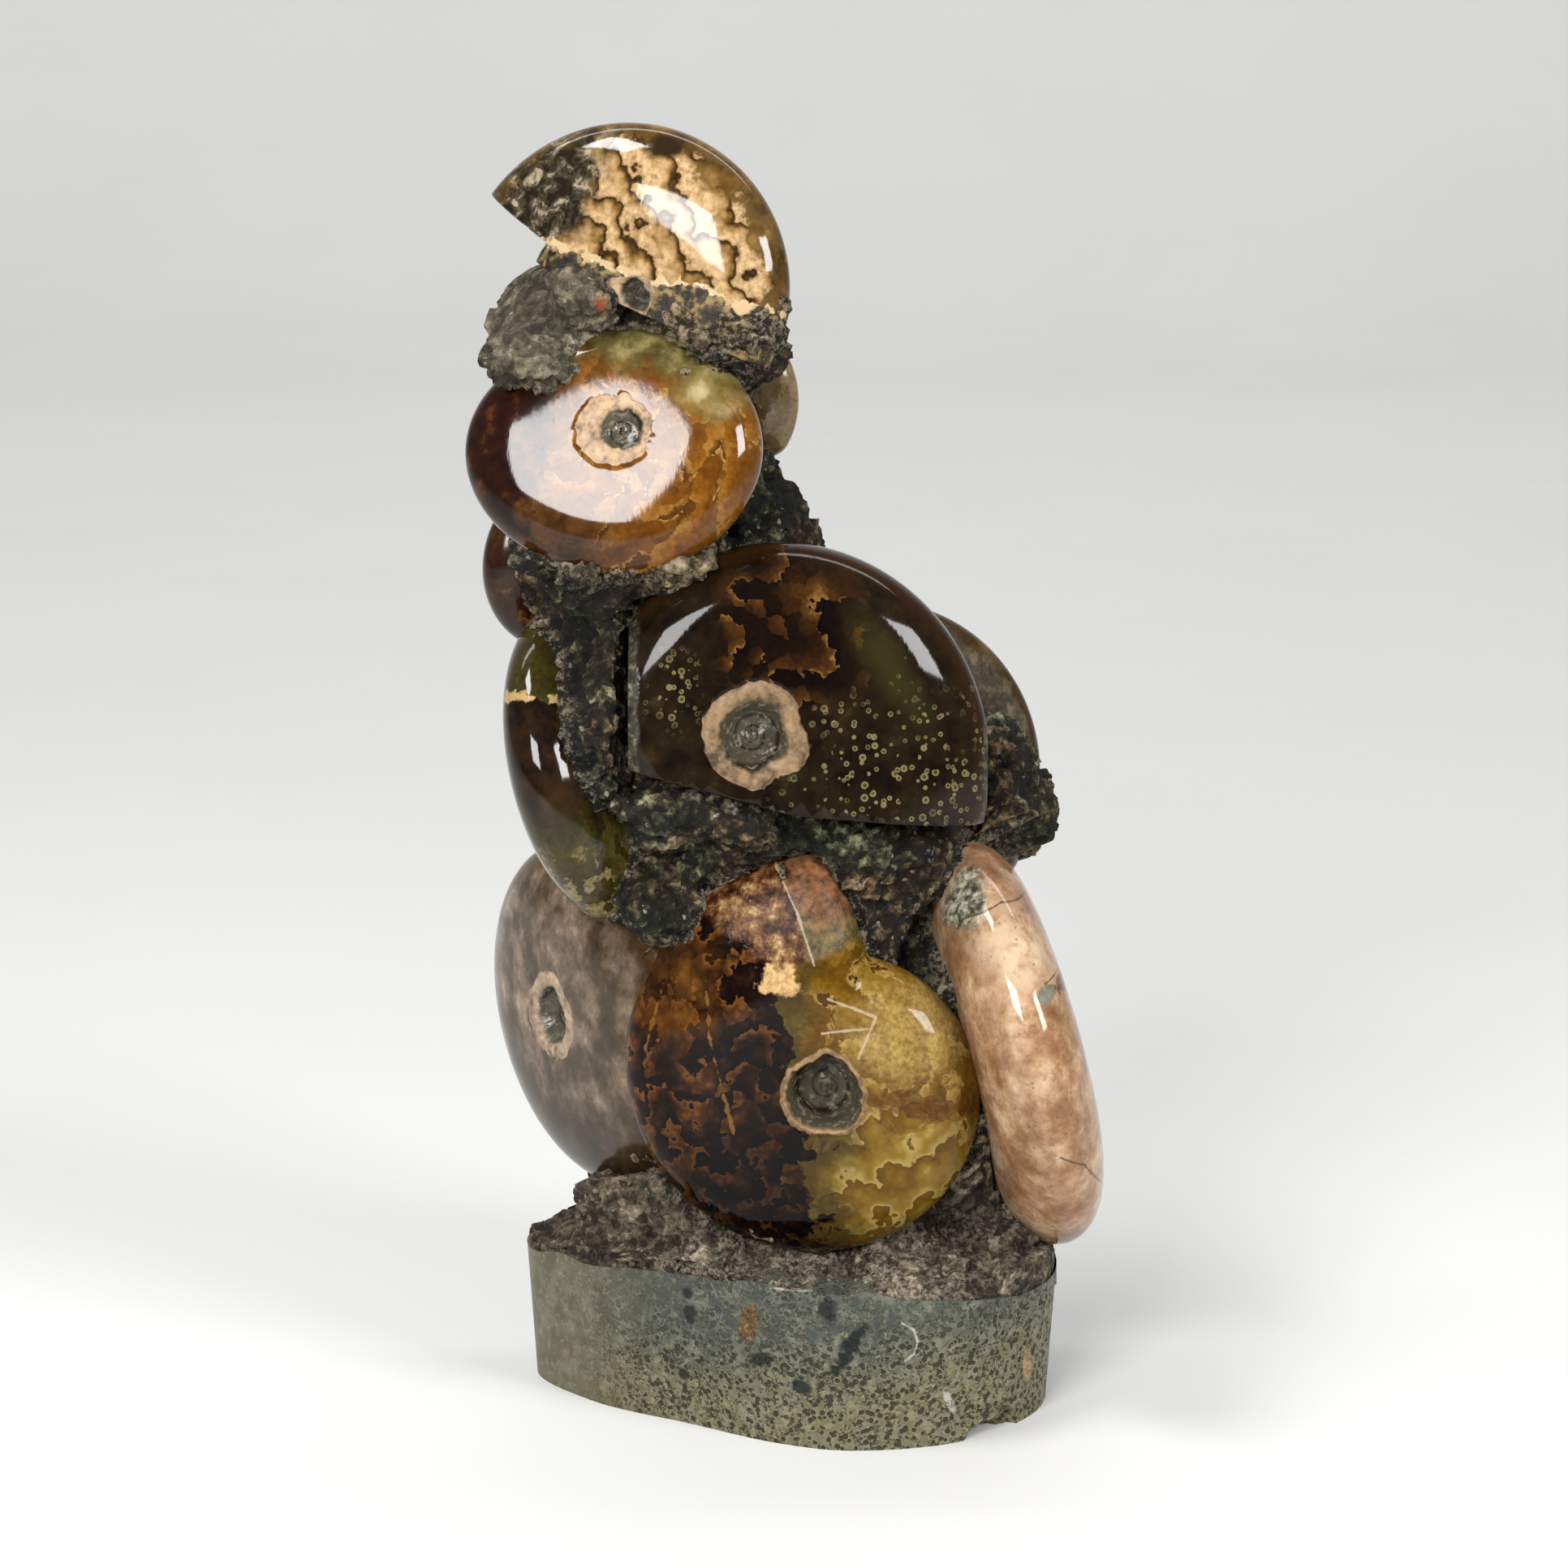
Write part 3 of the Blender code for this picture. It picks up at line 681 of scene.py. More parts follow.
    def centre_marks(f, colour):
        shown = f.patch(0.3, 99.0, 8.5, 9.5, 0.3, 0.9, 4.0)
        ground = f.ramp(
            f.cloud, (0.35, (0.004, 0.002, 0.001)), (0.6, (0.014, 0.008, 0.003)),
            (0.8, (0.04, 0.027, 0.01)),
        )
        colour = f.mix(1 - shown, colour, ground)
        colour = f.mix(
            f.patch(12.8, 94.4, 1.8, 6.5, 0.8, 0.3, 3.0, 35) * 0.5, colour, (0.034, 0.034, 0.008),
        )
        colour = f.mix(f.shade(f.share, 0.87, 0.97) * 0.6, colour, (0.03, 0.011, 0.003))
        where = f.patch(13.0, 82.0, 11.0, 8.5, 0.5, 3.4, 3.2)
        where = where.most(f.patch(-13.0, 92.5, 2.8, 3.8, 0.5, 1.2, 3.0))
        for size, share in ((1.2, 0.7), (0.85, 0.66)):
            dots = f.cells(size)
            chosen = f.shade(f.grains(size), share, share + 0.03)
            ringlet = f.shade(dots, 0.42, 0.36) * (1 - f.shade(dots, 0.26, 0.18) * 0.75)
            colour = f.mix(ringlet * chosen * where * 0.8, colour, (0.18, 0.145, 0.06))
        # the sawn left face and the worn right edge
        across = f.x + (f.cloud - 0.5) * 1.6
        face = f.shade(across, -16.9, -17.6).most(f.shade(across, 23.5, 24.2) * 0.7)
        f.dull = face
        return f.painted(
            colour, face * 0.9, f.noise(1.2, 5.0, 0.7), (0.38, (0.008, 0.007, 0.004)),
            (0.52, (0.04, 0.036, 0.022)), (0.7, (0.2, 0.19, 0.13)),
        )

    made["ammonite_centre"] = polished_shell(
        "dark_calcite", by_name["ammonite_centre"],
        (
            (0.0, (0.15, 0.075, 0.016)), (0.04, (0.055, 0.021, 0.004)), (0.2, (0.024, 0.009, 0.002)),
            (0.45, (0.007, 0.003, 0.001)), (0.75, (0.004, 0.002, 0.001)), (1.0, (0.003, 0.001, 0.001)),
        ),
        count=13, folds=0.45, marks=centre_marks, ring=(0.21, 0.135, 0.072), gloss=0.2,
    )

    def left_marks(f, colour):
        gold = f.along(f.leafy, (0.0, 0.0, 1.0)) + (f.cloud - 0.5) * 2.0
        dark = f.shade(gold, 90.2, 90.0) * f.shade(gold, 74.0, 80.0)
        colour = f.painted(colour, dark, f.cloud, (0.4, (0.005, 0.002, 0.001)), (0.7, (0.03, 0.014, 0.004)))
        flakes = f.shade(gold, 74.0, 70.0) * f.shade(f.noise(2.2, 4.0, 0.6, vector=f.leafy), 0.53, 0.56)
        colour = f.painted(
            colour, flakes * 0.8, f.feather, (0.35, (0.1, 0.075, 0.02)), (0.7, (0.34, 0.27, 0.12)),
        )
        return f.mix(f.shade(gold, 90.9, 90.7) * f.shade(gold, 90.0, 90.2), colour, (0.36, 0.25, 0.1))

    made["ammonite_left"] = polished_shell(
        "olive_calcite", by_name["ammonite_left"],
        (
            (0.0, (0.16, 0.12, 0.04)), (0.04, (0.05, 0.038, 0.008)), (0.4, (0.022, 0.019, 0.004)),
            (0.75, (0.045, 0.036, 0.007)), (1.0, (0.1, 0.075, 0.018)),
        ),
        count=8, marks=left_marks,
    )

    def lower_marks(f, colour):
        yellow = f.patch(13.5, 33.0, 9.0, 10.0, 0.35, 0.8, 4.0)
        leaf = f.along(f.place, (-0.07, 0.0, 0.15)) + f.cells(3.4) * 0.95 + f.cells(1.3) * 0.42
        leaf = (leaf + f.cells(0.6) * 0.1).fract()
        leaves = f.ramp(
            leaf, (0.0, (0.1, 0.055, 0.006)), (0.05, (0.34, 0.25, 0.08)), (0.3, (0.2, 0.13, 0.018)),
            (0.7, (0.12, 0.066, 0.006)), (0.97, (0.07, 0.035, 0.004)),
        )
        colour = f.mix(yellow * 0.75, colour, leaves)
        pale = f.patch(14.5, 50.5, 6.5, 5.5, 0.5, 1.0, 4.0)
        colour = f.painted(
            colour, pale * 0.5, f.feather, (0.35, (0.22, 0.14, 0.03)), (0.7, (0.5, 0.36, 0.14)),
        )
        height = f.along(f.leafy, (0.12, 0.0, 1.0)) - 44.2 + (f.cloud - 0.5) * 5
        band = f.shade(abs(height), 1.7, 0.6) * f.shade(f.x, 8.0, 11.0)
        colour = f.painted(
            colour, band * 0.8, f.feather, (0.35, (0.03, 0.009, 0.001)), (0.7, (0.11, 0.042, 0.006)),
        )
        split = f.along(f.leafy, (1.0, 0.0, 0.16)) - 7.2 + (f.cloud - 0.5) * 9
        split = split + (f.noise(8.0, 2.0) - 0.5) * 13
        dark = f.shade(split, 2.2, 1.2)
        fern = (f.phase * 1.3 + f.cells(2.6) * 0.6 + f.cells(1.0) * 0.3 + (f.cloud - 0.5) * 0.9).fract()
        veins = f.ramp(
            fern, (0.0, (0.02, 0.008, 0.002)), (0.07, (0.11, 0.045, 0.009)), (0.2, (0.05, 0.018, 0.004)),
            (0.42, (0.017, 0.006, 0.002)), (0.66, (0.005, 0.002, 0.001)), (0.95, (0.003, 0.001, 0.001)),
        )
        faded = f.shade(f.along(f.place, (-0.8, 0.0, 0.6)) + (f.cloud - 0.5) * 12, 22.0, 42.0)
        veins = f.mix(1.0, veins, f.mix(faded, (0.35, 0.3, 0.25), (1.2, 1.1, 1.0)), "MULTIPLY")
        colour = f.mix(dark, colour, veins)
        colour = f.mix(
            f.shade(split, 7.5, 2.5) * (1 - dark) * 0.85, colour,
            f.mix(f.feather, (0.012, 0.008, 0.002), (0.06, 0.042, 0.009)),
        )
        amber = f.patch(-13.5, 55.5, 5.0, 6.0, 0.5, 1.2, 3.0) * 0.5
        colour = f.painted(
            colour, amber, f.cloud, (0.4, (0.025, 0.009, 0.002)), (0.55, (0.12, 0.045, 0.008)),
            (0.75, (0.3, 0.14, 0.03)),
        )
        # broken shell above: red-brown and cream, with a crystal patch
        top = f.shade(f.z + (f.cloud - 0.5) * 6 + abs(f.x - 1.5) * -0.5, 57.5, 59.5)
        colour = f.painted(
            colour, top, f.noise(2.0, 6.0, 0.7), (0.38, (0.012, 0.004, 0.001)),
            (0.47, (0.07, 0.024, 0.007)), (0.56, (0.2, 0.095, 0.03)), (0.68, (0.5, 0.36, 0.2)),
        )
        green = f.shade(f.x + f.z * 0.25 + (f.cloud - 0.5) * 4, 17.2, 17.8) * top
        stain = f.mix(
            f.shade(f.z + (f.cloud - 0.5) * 10, 62.0, 67.0), (0.11, 0.086, 0.04), (0.15, 0.066, 0.028),
        )
        crystals = f.ramp(
            f.noise(1.5, 5.0, 0.7), (0.35, (0.3, 0.3, 0.3)), (0.5, (0.9, 0.9, 0.9)), (0.7, (1.9, 1.8, 1.6)),
        )
        colour = f.mix(green, colour, f.mix(1.0, stain, crystals, "MULTIPLY"))
        f.dull = top * 0.7
        colour = f.painted(
            colour, f.patch(-0.6, 57.2, 2.3, 1.9, 0.15, 2.2, 1.9), f.feather, (0.3, (0.3, 0.15, 0.05)),
            (0.7, (0.62, 0.42, 0.2)),
        )
        for start, end in (
            ((5.2, 55.2), (11.0, 53.0)), ((11.0, 53.0), (8.9, 48.0)), ((4.6, 51.0), (10.0, 51.6)),
            ((-1.2, 70.8), (1.6, 65.2)), ((1.6, 65.2), (3.6, 59.2)),
        ):
            colour = f.mix(f.line(start, end, 0.14, ragged=0.6) * 0.75, colour, (0.4, 0.31, 0.2))
        for start, end in (
            ((-9.4, 57.0), (-9.0, 50.0)), ((-9.0, 50.0), (-6.0, 38.0)), ((-14.5, 56.0), (-17.0, 47.0)),
        ):
            colour = f.mix(f.line(start, end, 0.12, ragged=1.4) * 0.6, colour, (0.2, 0.09, 0.02))
        return colour

    made["ammonite_lower"] = polished_shell(
        "yellow_calcite", by_name["ammonite_lower"],
        (
            (0.0, (0.3, 0.2, 0.06)), (0.04, (0.1, 0.045, 0.004)), (0.3, (0.085, 0.04, 0.003)),
            (0.55, (0.13, 0.065, 0.005)), (0.8, (0.17, 0.095, 0.012)), (0.95, (0.26, 0.17, 0.04)),
            (1.0, (0.06, 0.022, 0.003)),
        ),
        count=9, folds=0.4, marks=lower_marks, ring=(0.22, 0.135, 0.065), gloss=0.16,
    )

    def pink_marks(f, colour):
        colour = f.ramp(
            f.noise(6.0, 6.0, 0.68), (0.32, (0.15, 0.068, 0.028)), (0.44, (0.25, 0.13, 0.062)),
            (0.54, (0.37, 0.225, 0.125)), (0.64, (0.5, 0.35, 0.22)), (0.76, (0.64, 0.51, 0.36)),
        )
        stain = f.shade(f.noise(2.2, 6.0, 0.75), 0.5, 0.62) * 0.55
        colour = f.mix(stain, colour, (0.19, 0.088, 0.038))
        cream = f.patch(27.5, 61.5, 6.0, 3.5, 0.5, 1.4, 3.0, -25) * f.shade(f.y, -9.0, -15.0)
        colour = f.mix(cream * f.shade(f.cloud, 0.35, 0.6) * 0.6, colour, (0.6, 0.47, 0.32))
        specks = f.shade(f.cells(1.1), 0.2, 0.12) * f.shade(f.noise(5.0), 0.45, 0.6)
        colour = f.mix(specks * 0.6, colour, (0.1, 0.045, 0.02))
        colour = f.painted(
            colour, f.shade(f.z + (f.cloud - 0.5) * 7, 26.0, 19.0) * 0.9, f.cloud,
            (0.35, (0.025, 0.015, 0.004)), (0.65, (0.09, 0.055, 0.02)), (0.8, (0.24, 0.16, 0.08)),
        )
        front = f.shade(f.y, -8.0, -12.0)
        grey = f.patch(20.0, 66.5, 4.2, 3.8, 0.2, 1.0, 2.0) * front
        crumbs = f.ramp(
            f.noise(1.1, 5.0, 0.7), (0.4, (0.035, 0.034, 0.022)), (0.5, (0.14, 0.13, 0.085)),
            (0.62, (0.46, 0.43, 0.32)),
        )
        colour = f.mix(grey, colour, crumbs)
        colour = f.mix(
            f.patch(31.2, 56.5, 1.3, 1.0, 0.15, 1.4, 1.5) * front, colour,
            f.mix(f.feather, (0.05, 0.048, 0.03), (0.3, 0.28, 0.2)),
        )
        colour = f.painted(
            colour, f.patch(34.0, 57.0, 1.7, 1.2, 0.15, 1.4, 1.5) * front, f.feather,
            (0.4, (0.05, 0.018, 0.004)), (0.7, (0.24, 0.1, 0.02)),
        )
        for start, end, wide in (
            ((22.0, 64.3), (26.0, 66.2), 0.1), ((26.0, 66.2), (30.5, 66.0), 0.1),
            ((31.0, 57.6), (37.0, 59.4), 0.08), ((33.0, 37.0), (36.0, 35.5), 0.12),
            ((36.0, 35.5), (38.5, 31.5), 0.12),
        ):
            colour = f.mix(f.line(start, end, wide, ragged=0.3) * front * 0.8, colour, (0.06, 0.03, 0.015))
        f.dull = grey * 0.9
        return colour

    made["ammonite_right"] = polished_shell(
        "pink_shell_wall", by_name["ammonite_right"], ((0.0, (0.2, 0.1, 0.05)), (1.0, (0.5, 0.3, 0.2))),
        marks=pink_marks,
    )

    def mottled_marks(f, colour):
        colour = f.ramp(
            f.noise(5.0, 5.0, 0.62), (0.3, (0.02, 0.011, 0.004)), (0.45, (0.06, 0.038, 0.018)),
            (0.58, (0.15, 0.105, 0.07)), (0.75, (0.4, 0.3, 0.22)),
        )
        edge = f.shade(f.share + (f.cloud - 0.5) * 0.2, 0.8, 0.93)
        colour = f.painted(
            colour, edge, f.cloud, (0.35, (0.012, 0.004, 0.001)), (0.6, (0.07, 0.03, 0.006)),
            (0.8, (0.16, 0.08, 0.016)),
        )
        return f.mix(f.shade(f.z + (f.cloud - 0.5) * 10, 42.0, 30.0) * 0.8, colour, (0.022, 0.014, 0.005))

    made["ammonite_lower_left"] = polished_shell(
        "mottled_wall", by_name["ammonite_lower_left"],
        ((0.0, (0.04, 0.02, 0.01)), (1.0, (0.3, 0.2, 0.12))), marks=mottled_marks, polish=0.16,
        ring=(0.3, 0.22, 0.15),
    )

    def weathered_marks(f, colour):
        f.dull = f.shade(f.share + (f.cloud - 0.5) * 0.2, 0.97, 0.9)
        stone = f.ramp(
            f.noise(1.8, 5.0, 0.7), (0.36, (0.012, 0.009, 0.004)), (0.5, (0.05, 0.038, 0.018)),
            (0.66, (0.17, 0.13, 0.07)),
        )
        return f.mix(f.dull * 0.85, colour, stone)

    made["ammonite_behind_right"] = polished_shell(
        "weathered_olive", by_name["ammonite_behind_right"],
        (
            (0.0, (0.1, 0.06, 0.02)), (0.1, (0.05, 0.025, 0.004)), (0.6, (0.03, 0.015, 0.003)),
            (1.0, (0.08, 0.045, 0.012)),
        ),
        count=8, polish=0.2, marks=weathered_marks,
    )
    made["ammonite_behind_top"] = polished_shell(
        "amber_grey", by_name["ammonite_behind_top"],
        (
            (0.0, (0.2, 0.14, 0.06)), (0.1, (0.09, 0.06, 0.025)), (0.6, (0.14, 0.1, 0.045)),
            (1.0, (0.24, 0.17, 0.09)),
        ),
        count=7, polish=0.14,
    )
    made["ammonite_behind_left"] = polished_shell(
        "red_brown", by_name["ammonite_behind_left"],
        (
            (0.0, (0.1, 0.045, 0.01)), (0.08, (0.03, 0.01, 0.003)), (0.6, (0.012, 0.003, 0.001)),
            (1.0, (0.05, 0.02, 0.006)),
        ),
        count=7, polish=0.14,
    )
    made["ammonite_back"] = polished_shell(
        "brown_calcite", by_name["ammonite_back"],
        (
            (0.0, (0.36, 0.24, 0.1)), (0.06, (0.1, 0.045, 0.008)), (0.4, (0.2, 0.11, 0.02)),
            (0.75, (0.1, 0.045, 0.008)), (1.0, (0.05, 0.02, 0.004)),
        ),
        count=8, folds=0.4,
    )
    return made


# Pieces

def piece(shape, name, material, nodes):
    """Puts a closed shape into the scene as a piece that rides on the cluster."""
    bmesh.ops.recalc_face_normals(shape, faces=shape.faces)
    if shape.calc_volume(signed=True) < 0:
        bmesh.ops.reverse_faces(shape, faces=shape.faces)
    mesh = bpy.data.meshes.new(name)
    shape.to_mesh(mesh)
    shape.free()
    mesh.shade_smooth()
    made = bpy.data.objects.new(name, mesh)
    bpy.context.scene.collection.objects.link(made)
    mesh.materials.append(material)
    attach(made, "root")
    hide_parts(*nodes)
    return made


def eased(value, low, high):
    t = min(1.0, max(0.0, (value - low) / (high - low)))
    return t * t * (3 - 2 * t)


def coil(shell, steps=STEPS_ROUND):
    """The half section spun round, then drawn in towards the navel along the shell's growth."""
    shape = bmesh.new()
    mark = shape.verts.layers.float_vector.new("coil")
    section = shell.section()
    far_side = [(share, -height) for share, height in reversed(section[:-1])]
    points = [
        shape.verts.new((share * shell.radius, 0, height * shell.half_thickness))
        for share, height in [*section, *far_side]
    ]
    edges = [shape.edges.new(pair) for pair in zip(points, points[1:])]
    bmesh.ops.spin(
        shape, geom=[*points, *edges], cent=(0, 0, 0), axis=(0, 0, 1), angle=FULL_TURN, steps=steps,
        use_merge=True,
    )
    bmesh.ops.remove_doubles(shape, verts=shape.verts, dist=0.005)
    turn_to_mouth = Matrix.Rotation(shell.mouth - shell.turn * 0.002, 3, "Z")
    bmesh.ops.rotate(shape, verts=shape.verts, cent=(0, 0, 0), matrix=turn_to_mouth)
    size, _, off_x, off_y = shell.pit
    for point in shape.verts:
        share = point.co.xy.length / shell.radius
        angle = math.atan2(point.co.y, point.co.x)
        side = 1 if point.co.z > 0 else -1
        point[mark] = (point.co.x / shell.radius, point.co.y / shell.radius, side)
        if share < 0.002:
            continue
        # the small inner whorls stand up in the pit
        if share < size:
            turns = (math.log(share, WHORL_STEP) - shell.turn * angle / FULL_TURN) % 1.0
            raised = 0.14 * math.sin(math.pi * turns) ** 0.7
            raised *= min(1.0, (size - share) / 0.03, share / 0.015)
            point.co.z += side * raised * shell.half_thickness
        drawn = shell.navel + (1 - shell.navel) * eased(share, RIM_END, 0.45)
        grown = math.log(share / ROUND_SHARE) / -math.log(ROUND_SHARE)
        drawn *= shell.keel(angle) ** min(1.0, max(0.0, grown))
        # the rim round the pit is uneven
        wave = noise.noise(Vector((math.cos(angle) * 2.4, math.sin(angle) * 2.4, shell.radius)))
        ragged = min(1.0, max(0.0, share / size - 0.8) / 0.2) * (1 - eased(share, 0.22, 0.28))
        fine = noise.noise(Vector((math.cos(angle) * 7.5, math.sin(angle) * 7.5, shell.radius)))
        drawn *= 1 + ragged * (0.17 * wave + 0.05 * fine)
        moved = shell.radius * (1 - eased(share, size, RIM_END))
        point.co.x = point.co.x * drawn + off_x * moved * side
        point.co.y = point.co.y * drawn + off_y * moved
    shape.transform(shell.frame())
    for place, outwards in shell.sawn:
        everything = [*shape.verts, *shape.edges, *shape.faces]
        bmesh.ops.bisect_plane(
            shape, geom=everything, plane_co=Vector(place), plane_no=outwards, clear_outer=True,
        )
        bmesh.ops.holes_fill(shape, edges=[edge for edge in shape.edges if edge.is_boundary])
    return shape


def ammonite(shell, finish):
    shape = coil(shell)
    bmesh.ops.scale(shape, vec=(MM, MM, MM), verts=shape.verts)
    piece(shape, f"polished_{shell.name}", finish, [shell.name])


def smooth_ring(corners, steps):
    """Points on a closed, smooth curve through the corners."""
    ring = []
    count = len(corners)
    for index in range(count):
        before, start, end, after = (Vector(corners[(index + k) % count]) for k in (-1, 0, 1, 2))
        for step in range(steps):
            t = step / steps
            ring.append(
                0.5 * ((2 * start) + (end - before) * t + (2 * before - 5 * start + 4 * end - after) * t**2
                       + (3 * start - before - 3 * end + after) * t**3)
            )
    return ring


def ball(shape, centre, radii, detail):
    made = bmesh.ops.create_icosphere(shape, subdivisions=detail, radius=1)
    bmesh.ops.scale(shape, vec=radii, verts=made["verts"])
    bmesh.ops.translate(shape, vec=centre, verts=made["verts"])
    return made["verts"]


def displace(made, name, size, strength):
    """Moves a piece's surface in and out by cloudy noise of this size."""
    step = made.modifiers.new(name, "DISPLACE")
    step.texture = bpy.data.textures.new(name, "CLOUDS")
    step.texture.noise_scale = size * MM
    step.texture_coords = "LOCAL"
    step.strength = strength * MM
    step.mid_level = 0.5


def foot_edge(x, y):
    """How high the ground side of the foot reaches: highest along the front, lowest at the right."""
    return FOOT_HEIGHT + 2.3 * min(1.0, max(0.0, (-4.0 - y) / 17.0)) - 0.13 * max(0.0, x - 10.0)


def kept_in_foot(points):
    """Draws the rock's points below the foot's edge inside the ground outline."""
    ring = smooth_ring(FOOT_OUTLINE, 12)
    angles = np.array([math.atan2(p.y, p.x) for p in ring])
    reach = np.array([p.length for p in ring])
    order = np.argsort(angles)
    angle = np.arctan2(points[:, 1], points[:, 0])
    flare = 1 + (FOOT_FLARE - 1) * np.clip(points[:, 2] / FOOT_HEIGHT, 0, 1)
    limit = np.interp(angle, angles[order], reach[order], period=FULL_TURN) * flare * INSIDE
    across = np.hypot(points[:, 0], points[:, 1])
    pull = np.where(
        (points[:, 2] < FOOT_HEIGHT + 3.5) & (across > limit), limit / np.maximum(across, 1e-6), 1.0,
    )
    points[:, :2] *= pull[:, None]
    points[:, 2] = np.maximum(points[:, 2], 6.0)


def kept_off_flanks(points):
    """Pushes rock off a shell's visible flank back under it, and clears a groove round its keel."""
    under = 0.9
    groove_width = 2.5
    groove_depth = 1.2
    groove_slope = 2.2
    crust = np.zeros(len(points))
    for centre, radii in CRUST_LUMPS:
        far = np.sqrt((((points - np.array(centre)) / (np.array(radii) + 1.2)) ** 2).sum(axis=1))
        crust = np.maximum(crust, np.clip((1.25 - far) / 0.25, 0, 1))
    for shell in SHELLS:
        shares, heights = (np.array(column) for column in zip(*shell.section()))
        heights[shares < RIM_END + 0.01] = 0.5
        right, up, facing = (np.array(axis) for axis in shell.axes())
        away = points - np.array(shell.centre)
        u, v, w = away @ right, away @ up, away @ facing
        across = np.maximum(np.hypot(u, v) / shell.radius, 1e-3)
        keel = shell.keel(np.arctan2(v, u))
        unrolled = np.exp((np.log(across) - np.log(keel)) / (1 + np.log(keel) / -math.log(ROUND_SHARE)))
        share = np.where(across < ROUND_SHARE, across, unrolled)
        surface = np.interp(share, shares, heights) * shell.half_thickness
        outside = (across - keel) * shell.radius
        limit = np.where(outside < 0, surface - under, -groove_depth + outside * groove_slope)
        kept = np.ones(len(points), bool)
        for place, outwards in shell.sawn:
            kept &= (points - np.array(place, float)) @ np.array(outwards, float) < 0.6
        pushed = kept & (outside < groove_width) & (w > limit) & (w > -2.0) & (w < surface + shell.clear)
        move = np.where(pushed, limit - w, 0.0) * (1 - crust)
        points += move[:, None] * facing


def roughened(points, normals):
    """Breaks the surface into flat facets, crumbs and grit, and says how far each place stands out."""
    raised = np.empty(len(points))
    moved = np.empty(len(points))
    for index, (place, normal) in enumerate(zip(points, normals)):
        place, normal = Vector(place), Vector(normal)
        middle = noise.voronoi(place / FACET)[1][0] * FACET
        facet = min(1.6, max(-1.6, (middle - place).dot(normal)))
        near = noise.voronoi(place / CRUMB + Vector((0.25 * noise.noise(place * 1.1), 0, 0)))[0]
        grit = noise.voronoi(place / GRIT)[0][0]
        raised[index] = min(1.0, (near[1] - near[0]) * 2.4) * 0.75 + (0.45 - grit) * 0.9 - 0.45
        flat = 0.8 * (1 - eased((place - KNOB).length, 7.0, 12.0))
        rough = raised[index] * 0.75 + noise.noise(place / 6.0) * 0.5
        moved[index] = facet * (0.42 - 0.25 * flat) + rough * (1 - flat)
    points += normals * moved[:, None]
    return raised


def rock_column(finish, shells):
    """The column of rock, grown from its lumps and then broken, and marked where it meets a shell."""
    shape = bmesh.new()
    for centre, radii in (*ROCK_LUMPS, *SLOPE_LUMPS, *CRUST_LUMPS):
        ball(shape, Vector(centre), Vector(radii), 4)
    bmesh.ops.scale(shape, vec=(MM, MM, MM), verts=shape.verts)
    made = piece(shape, "rock_column", finish, ["rock_matrix"])
    grow = made.modifiers.new("grow together", "REMESH")
    grow.mode = "VOXEL"
    grow.voxel_size = VOXEL * MM
    wear = made.modifiers.new("wear", "SMOOTH")
    wear.iterations = SMOOTHING
    displace(made, "broken face", BROKEN_FACE, BROKEN_DEPTH)
    shape = bmesh.new()
    shape.from_object(made, bpy.context.evaluated_depsgraph_get())
    made.modifiers.clear()
    points = np.array([point.co for point in shape.verts]) / MM
    kept_off_flanks(points)
    for point, place in zip(shape.verts, points):
        point.co = place
    bmesh.ops.smooth_vert(
        shape, verts=shape.verts, factor=0.5, use_axis_x=True, use_axis_y=True, use_axis_z=True,
    )
    shape.normal_update()
    points = np.array([point.co for point in shape.verts])
    raised = roughened(points, np.array([point.normal for point in shape.verts]))
    kept_in_foot(points)
    rim_mark = shape.verts.layers.float.new("rim")
    raised_mark = shape.verts.layers.float.new("raised")
    for point, place, height in zip(shape.verts, points, raised):
        point.co = place * MM
        point[raised_mark] = height
        near = shells.find_nearest(place, 3.0)
        point[rim_mark] = max(0.0, 1 - near[3] / 2.0) if near[0] else 0.0
    shape.to_mesh(made.data)
    shape.free()
    made.data.shade_smooth()


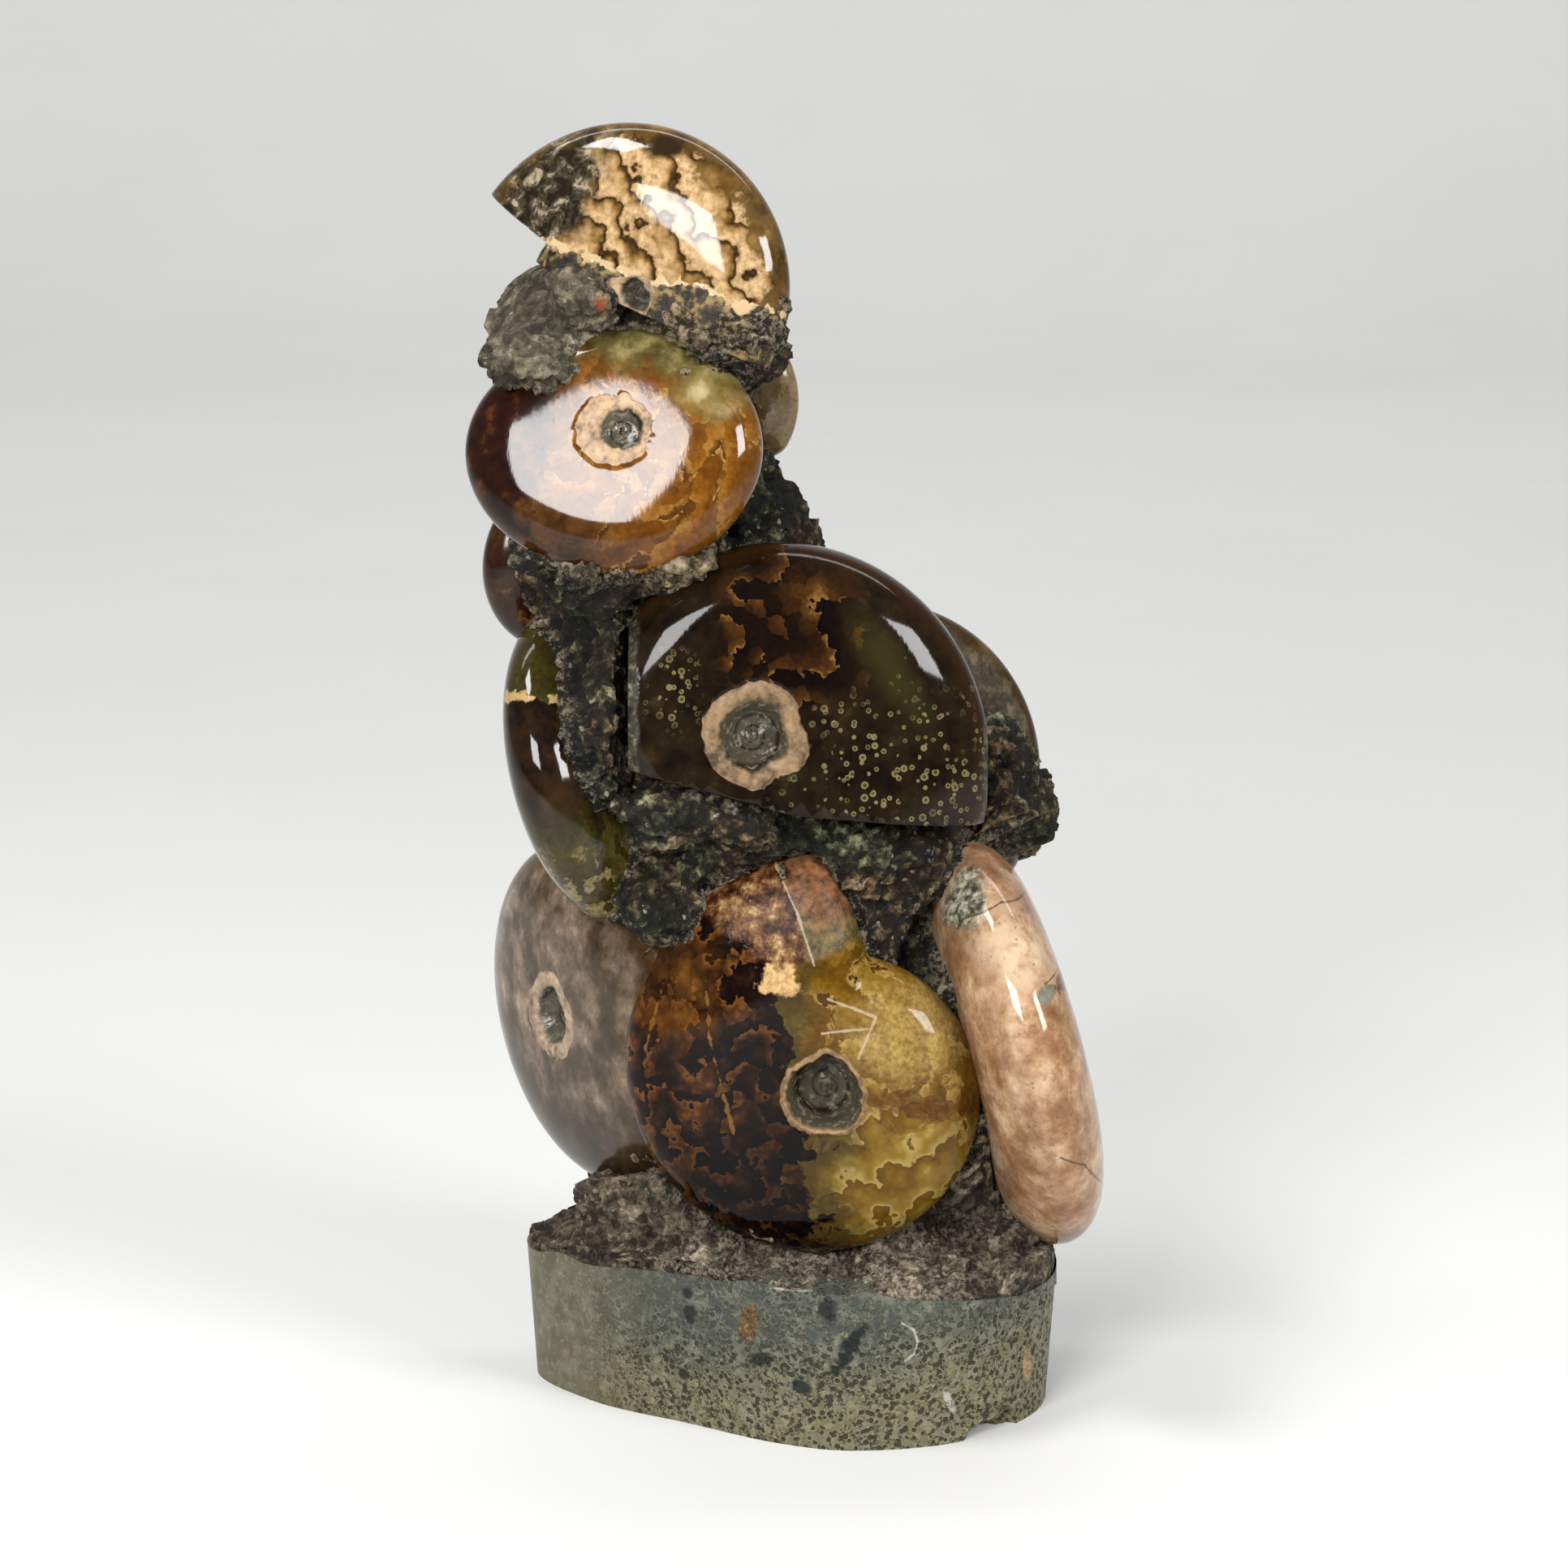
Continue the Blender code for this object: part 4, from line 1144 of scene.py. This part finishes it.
def stone_foot(finish):
    """The sawn and ground foot, with a flake missing at the front right."""
    shape = bmesh.new()
    ring = smooth_ring(FOOT_OUTLINE, 16)
    face = shape.faces.new([shape.verts.new((p.x, p.y, 0)) for p in ring])
    levels = 20
    for level in range(levels):
        raised = bmesh.ops.extrude_face_region(shape, geom=[face])
        top = [item for item in raised["geom"] if isinstance(item, bmesh.types.BMVert)]
        next_face = next(item for item in raised["geom"] if isinstance(item, bmesh.types.BMFace))
        if level:
            bmesh.ops.delete(shape, geom=[face], context="FACES_ONLY")
        face = next_face
        bmesh.ops.translate(shape, vec=(0, 0, FOOT_HEIGHT / levels), verts=top)
        grow = 1 + (FOOT_FLARE - 1) / levels
        bmesh.ops.scale(shape, vec=(grow, grow, 1), verts=top)
    for point in top:
        point.co.z = foot_edge(point.co.x, point.co.y) + noise.noise(point.co * 0.2) * 0.8 - 0.3
    bmesh.ops.inset_region(shape, faces=[face], thickness=5.0, depth=0.0)
    bmesh.ops.scale(shape, vec=(MM, MM, MM), verts=shape.verts)
    made = piece(shape, "stone_foot", finish, ["rock_matrix"])
    flake = bmesh.new()
    for centre, radii in FLAKE_LUMPS:
        for point in ball(flake, Vector(centre), Vector(radii), 4):
            point.co += point.co.normalized() * noise.noise(point.co * 1.1) * 0.9
    bmesh.ops.scale(flake, vec=(MM, MM, MM), verts=flake.verts)
    mesh = bpy.data.meshes.new("flake")
    flake.to_mesh(mesh)
    flake.free()
    cutter = bpy.data.objects.new("flake", mesh)
    bpy.context.scene.collection.objects.link(cutter)
    cut = made.modifiers.new("flake", "BOOLEAN")
    cut.operation = "DIFFERENCE"
    cut.solver = "EXACT"
    cut.use_self = True
    cut.object = cutter
    shape = bmesh.new()
    shape.from_object(made, bpy.context.evaluated_depsgraph_get())
    shape.to_mesh(made.data)
    shape.free()
    made.modifiers.clear()
    bpy.data.objects.remove(cutter)
    made.data.set_sharp_from_angle(angle=math.radians(50))


def shells_as_tree():
    """All the shells in one search tree, in millimetres."""
    whole = bmesh.new()
    for shell in SHELLS:
        shape = coil(shell, steps=72)
        mesh = bpy.data.meshes.new("search")
        shape.to_mesh(mesh)
        shape.free()
        whole.from_mesh(mesh)
        bpy.data.meshes.remove(mesh)
    tree = BVHTree.FromBMesh(whole)
    whole.free()
    return tree


# The studio

def aimed(made, place, at):
    made.location = Vector(place) * MM
    made.rotation_euler = (Vector(at) - Vector(place)).to_track_quat("-Z", "Y").to_euler()
    bpy.context.scene.collection.objects.link(made)
    return made


def camera():
    eye = bpy.data.cameras.new("camera")
    eye.lens = LENS
    eye.sensor_width = SENSOR
    place = TARGET + Vector((0, -math.cos(PITCH), math.sin(PITCH))) * DISTANCE
    bpy.context.scene.camera = aimed(bpy.data.objects.new("camera", eye), place, TARGET)


def softbox(name, place, at, width, height, power):
    lamp = bpy.data.lights.new(name, "AREA")
    lamp.shape = "RECTANGLE"
    lamp.size = width * MM
    lamp.size_y = height * MM
    lamp.energy = power
    aimed(bpy.data.objects.new(name, lamp), place, at)


def studio():
    softbox("key", (-262, -640, 400), (-15, 0, 115), 310, 240, 5.6)
    softbox("top", (-260, -120, 620), (0, 0, 90), 200, 130, 2.0)
    softbox("right", (490, -350, 370), (0, 0, 80), 200, 190, 3.2)
    softbox("wall", (0, 500, 1500), (0, 1800, 500), 2400, 500, 26.0)
    world = bpy.data.worlds.new("studio")
    world.use_nodes = True
    world.node_tree.nodes["Background"].inputs["Color"].default_value = (0.8, 0.82, 0.85, 1)
    world.node_tree.nodes["Background"].inputs["Strength"].default_value = 0.24
    bpy.context.scene.world = world
    bpy.context.scene.view_settings.view_transform = "Standard"


def pale_floor():
    """A floor that sweeps up into a wall behind the cluster, with its sizes in metres."""
    front = -2.5
    back = 1.2
    sweep = 0.6
    wall_top = 2.6
    width = 8.0
    shape = bmesh.new()
    angles = [math.radians(degrees) for degrees in range(0, 91, 10)]
    corner = [(back + sweep * math.sin(angle), sweep - sweep * math.cos(angle)) for angle in angles]
    profile = [(front, 0.0), *corner, (back + sweep, wall_top)]
    line = [shape.verts.new((-width / 2, y, z)) for y, z in profile]
    edges = [shape.edges.new(pair) for pair in zip(line, line[1:])]
    swept = bmesh.ops.extrude_edge_only(shape, edges=edges)
    moved = [item for item in swept["geom"] if isinstance(item, bmesh.types.BMVert)]
    bmesh.ops.translate(shape, vec=(width, 0, 0), verts=moved)
    bmesh.ops.recalc_face_normals(shape, faces=shape.faces)
    mesh = bpy.data.meshes.new("floor")
    shape.to_mesh(mesh)
    shape.free()
    mesh.shade_smooth()
    floor = bpy.data.objects.new("floor", mesh)
    bpy.context.scene.collection.objects.link(floor)
    pale = Finish("pale_floor", roughness=0.6)
    mottled = pale.mix(pale.noise(90.0), (0.62, 0.62, 0.61), (0.66, 0.655, 0.64))
    mesh.materials.append(pale.use(Base_Color=mottled))


camera()
studio()
pale_floor()
finishes = shell_finishes()
for shell in SHELLS:
    ammonite(shell, finishes[shell.name])
rock_column(rough_rock(), shells_as_tree())
stone_foot(ground_stone())
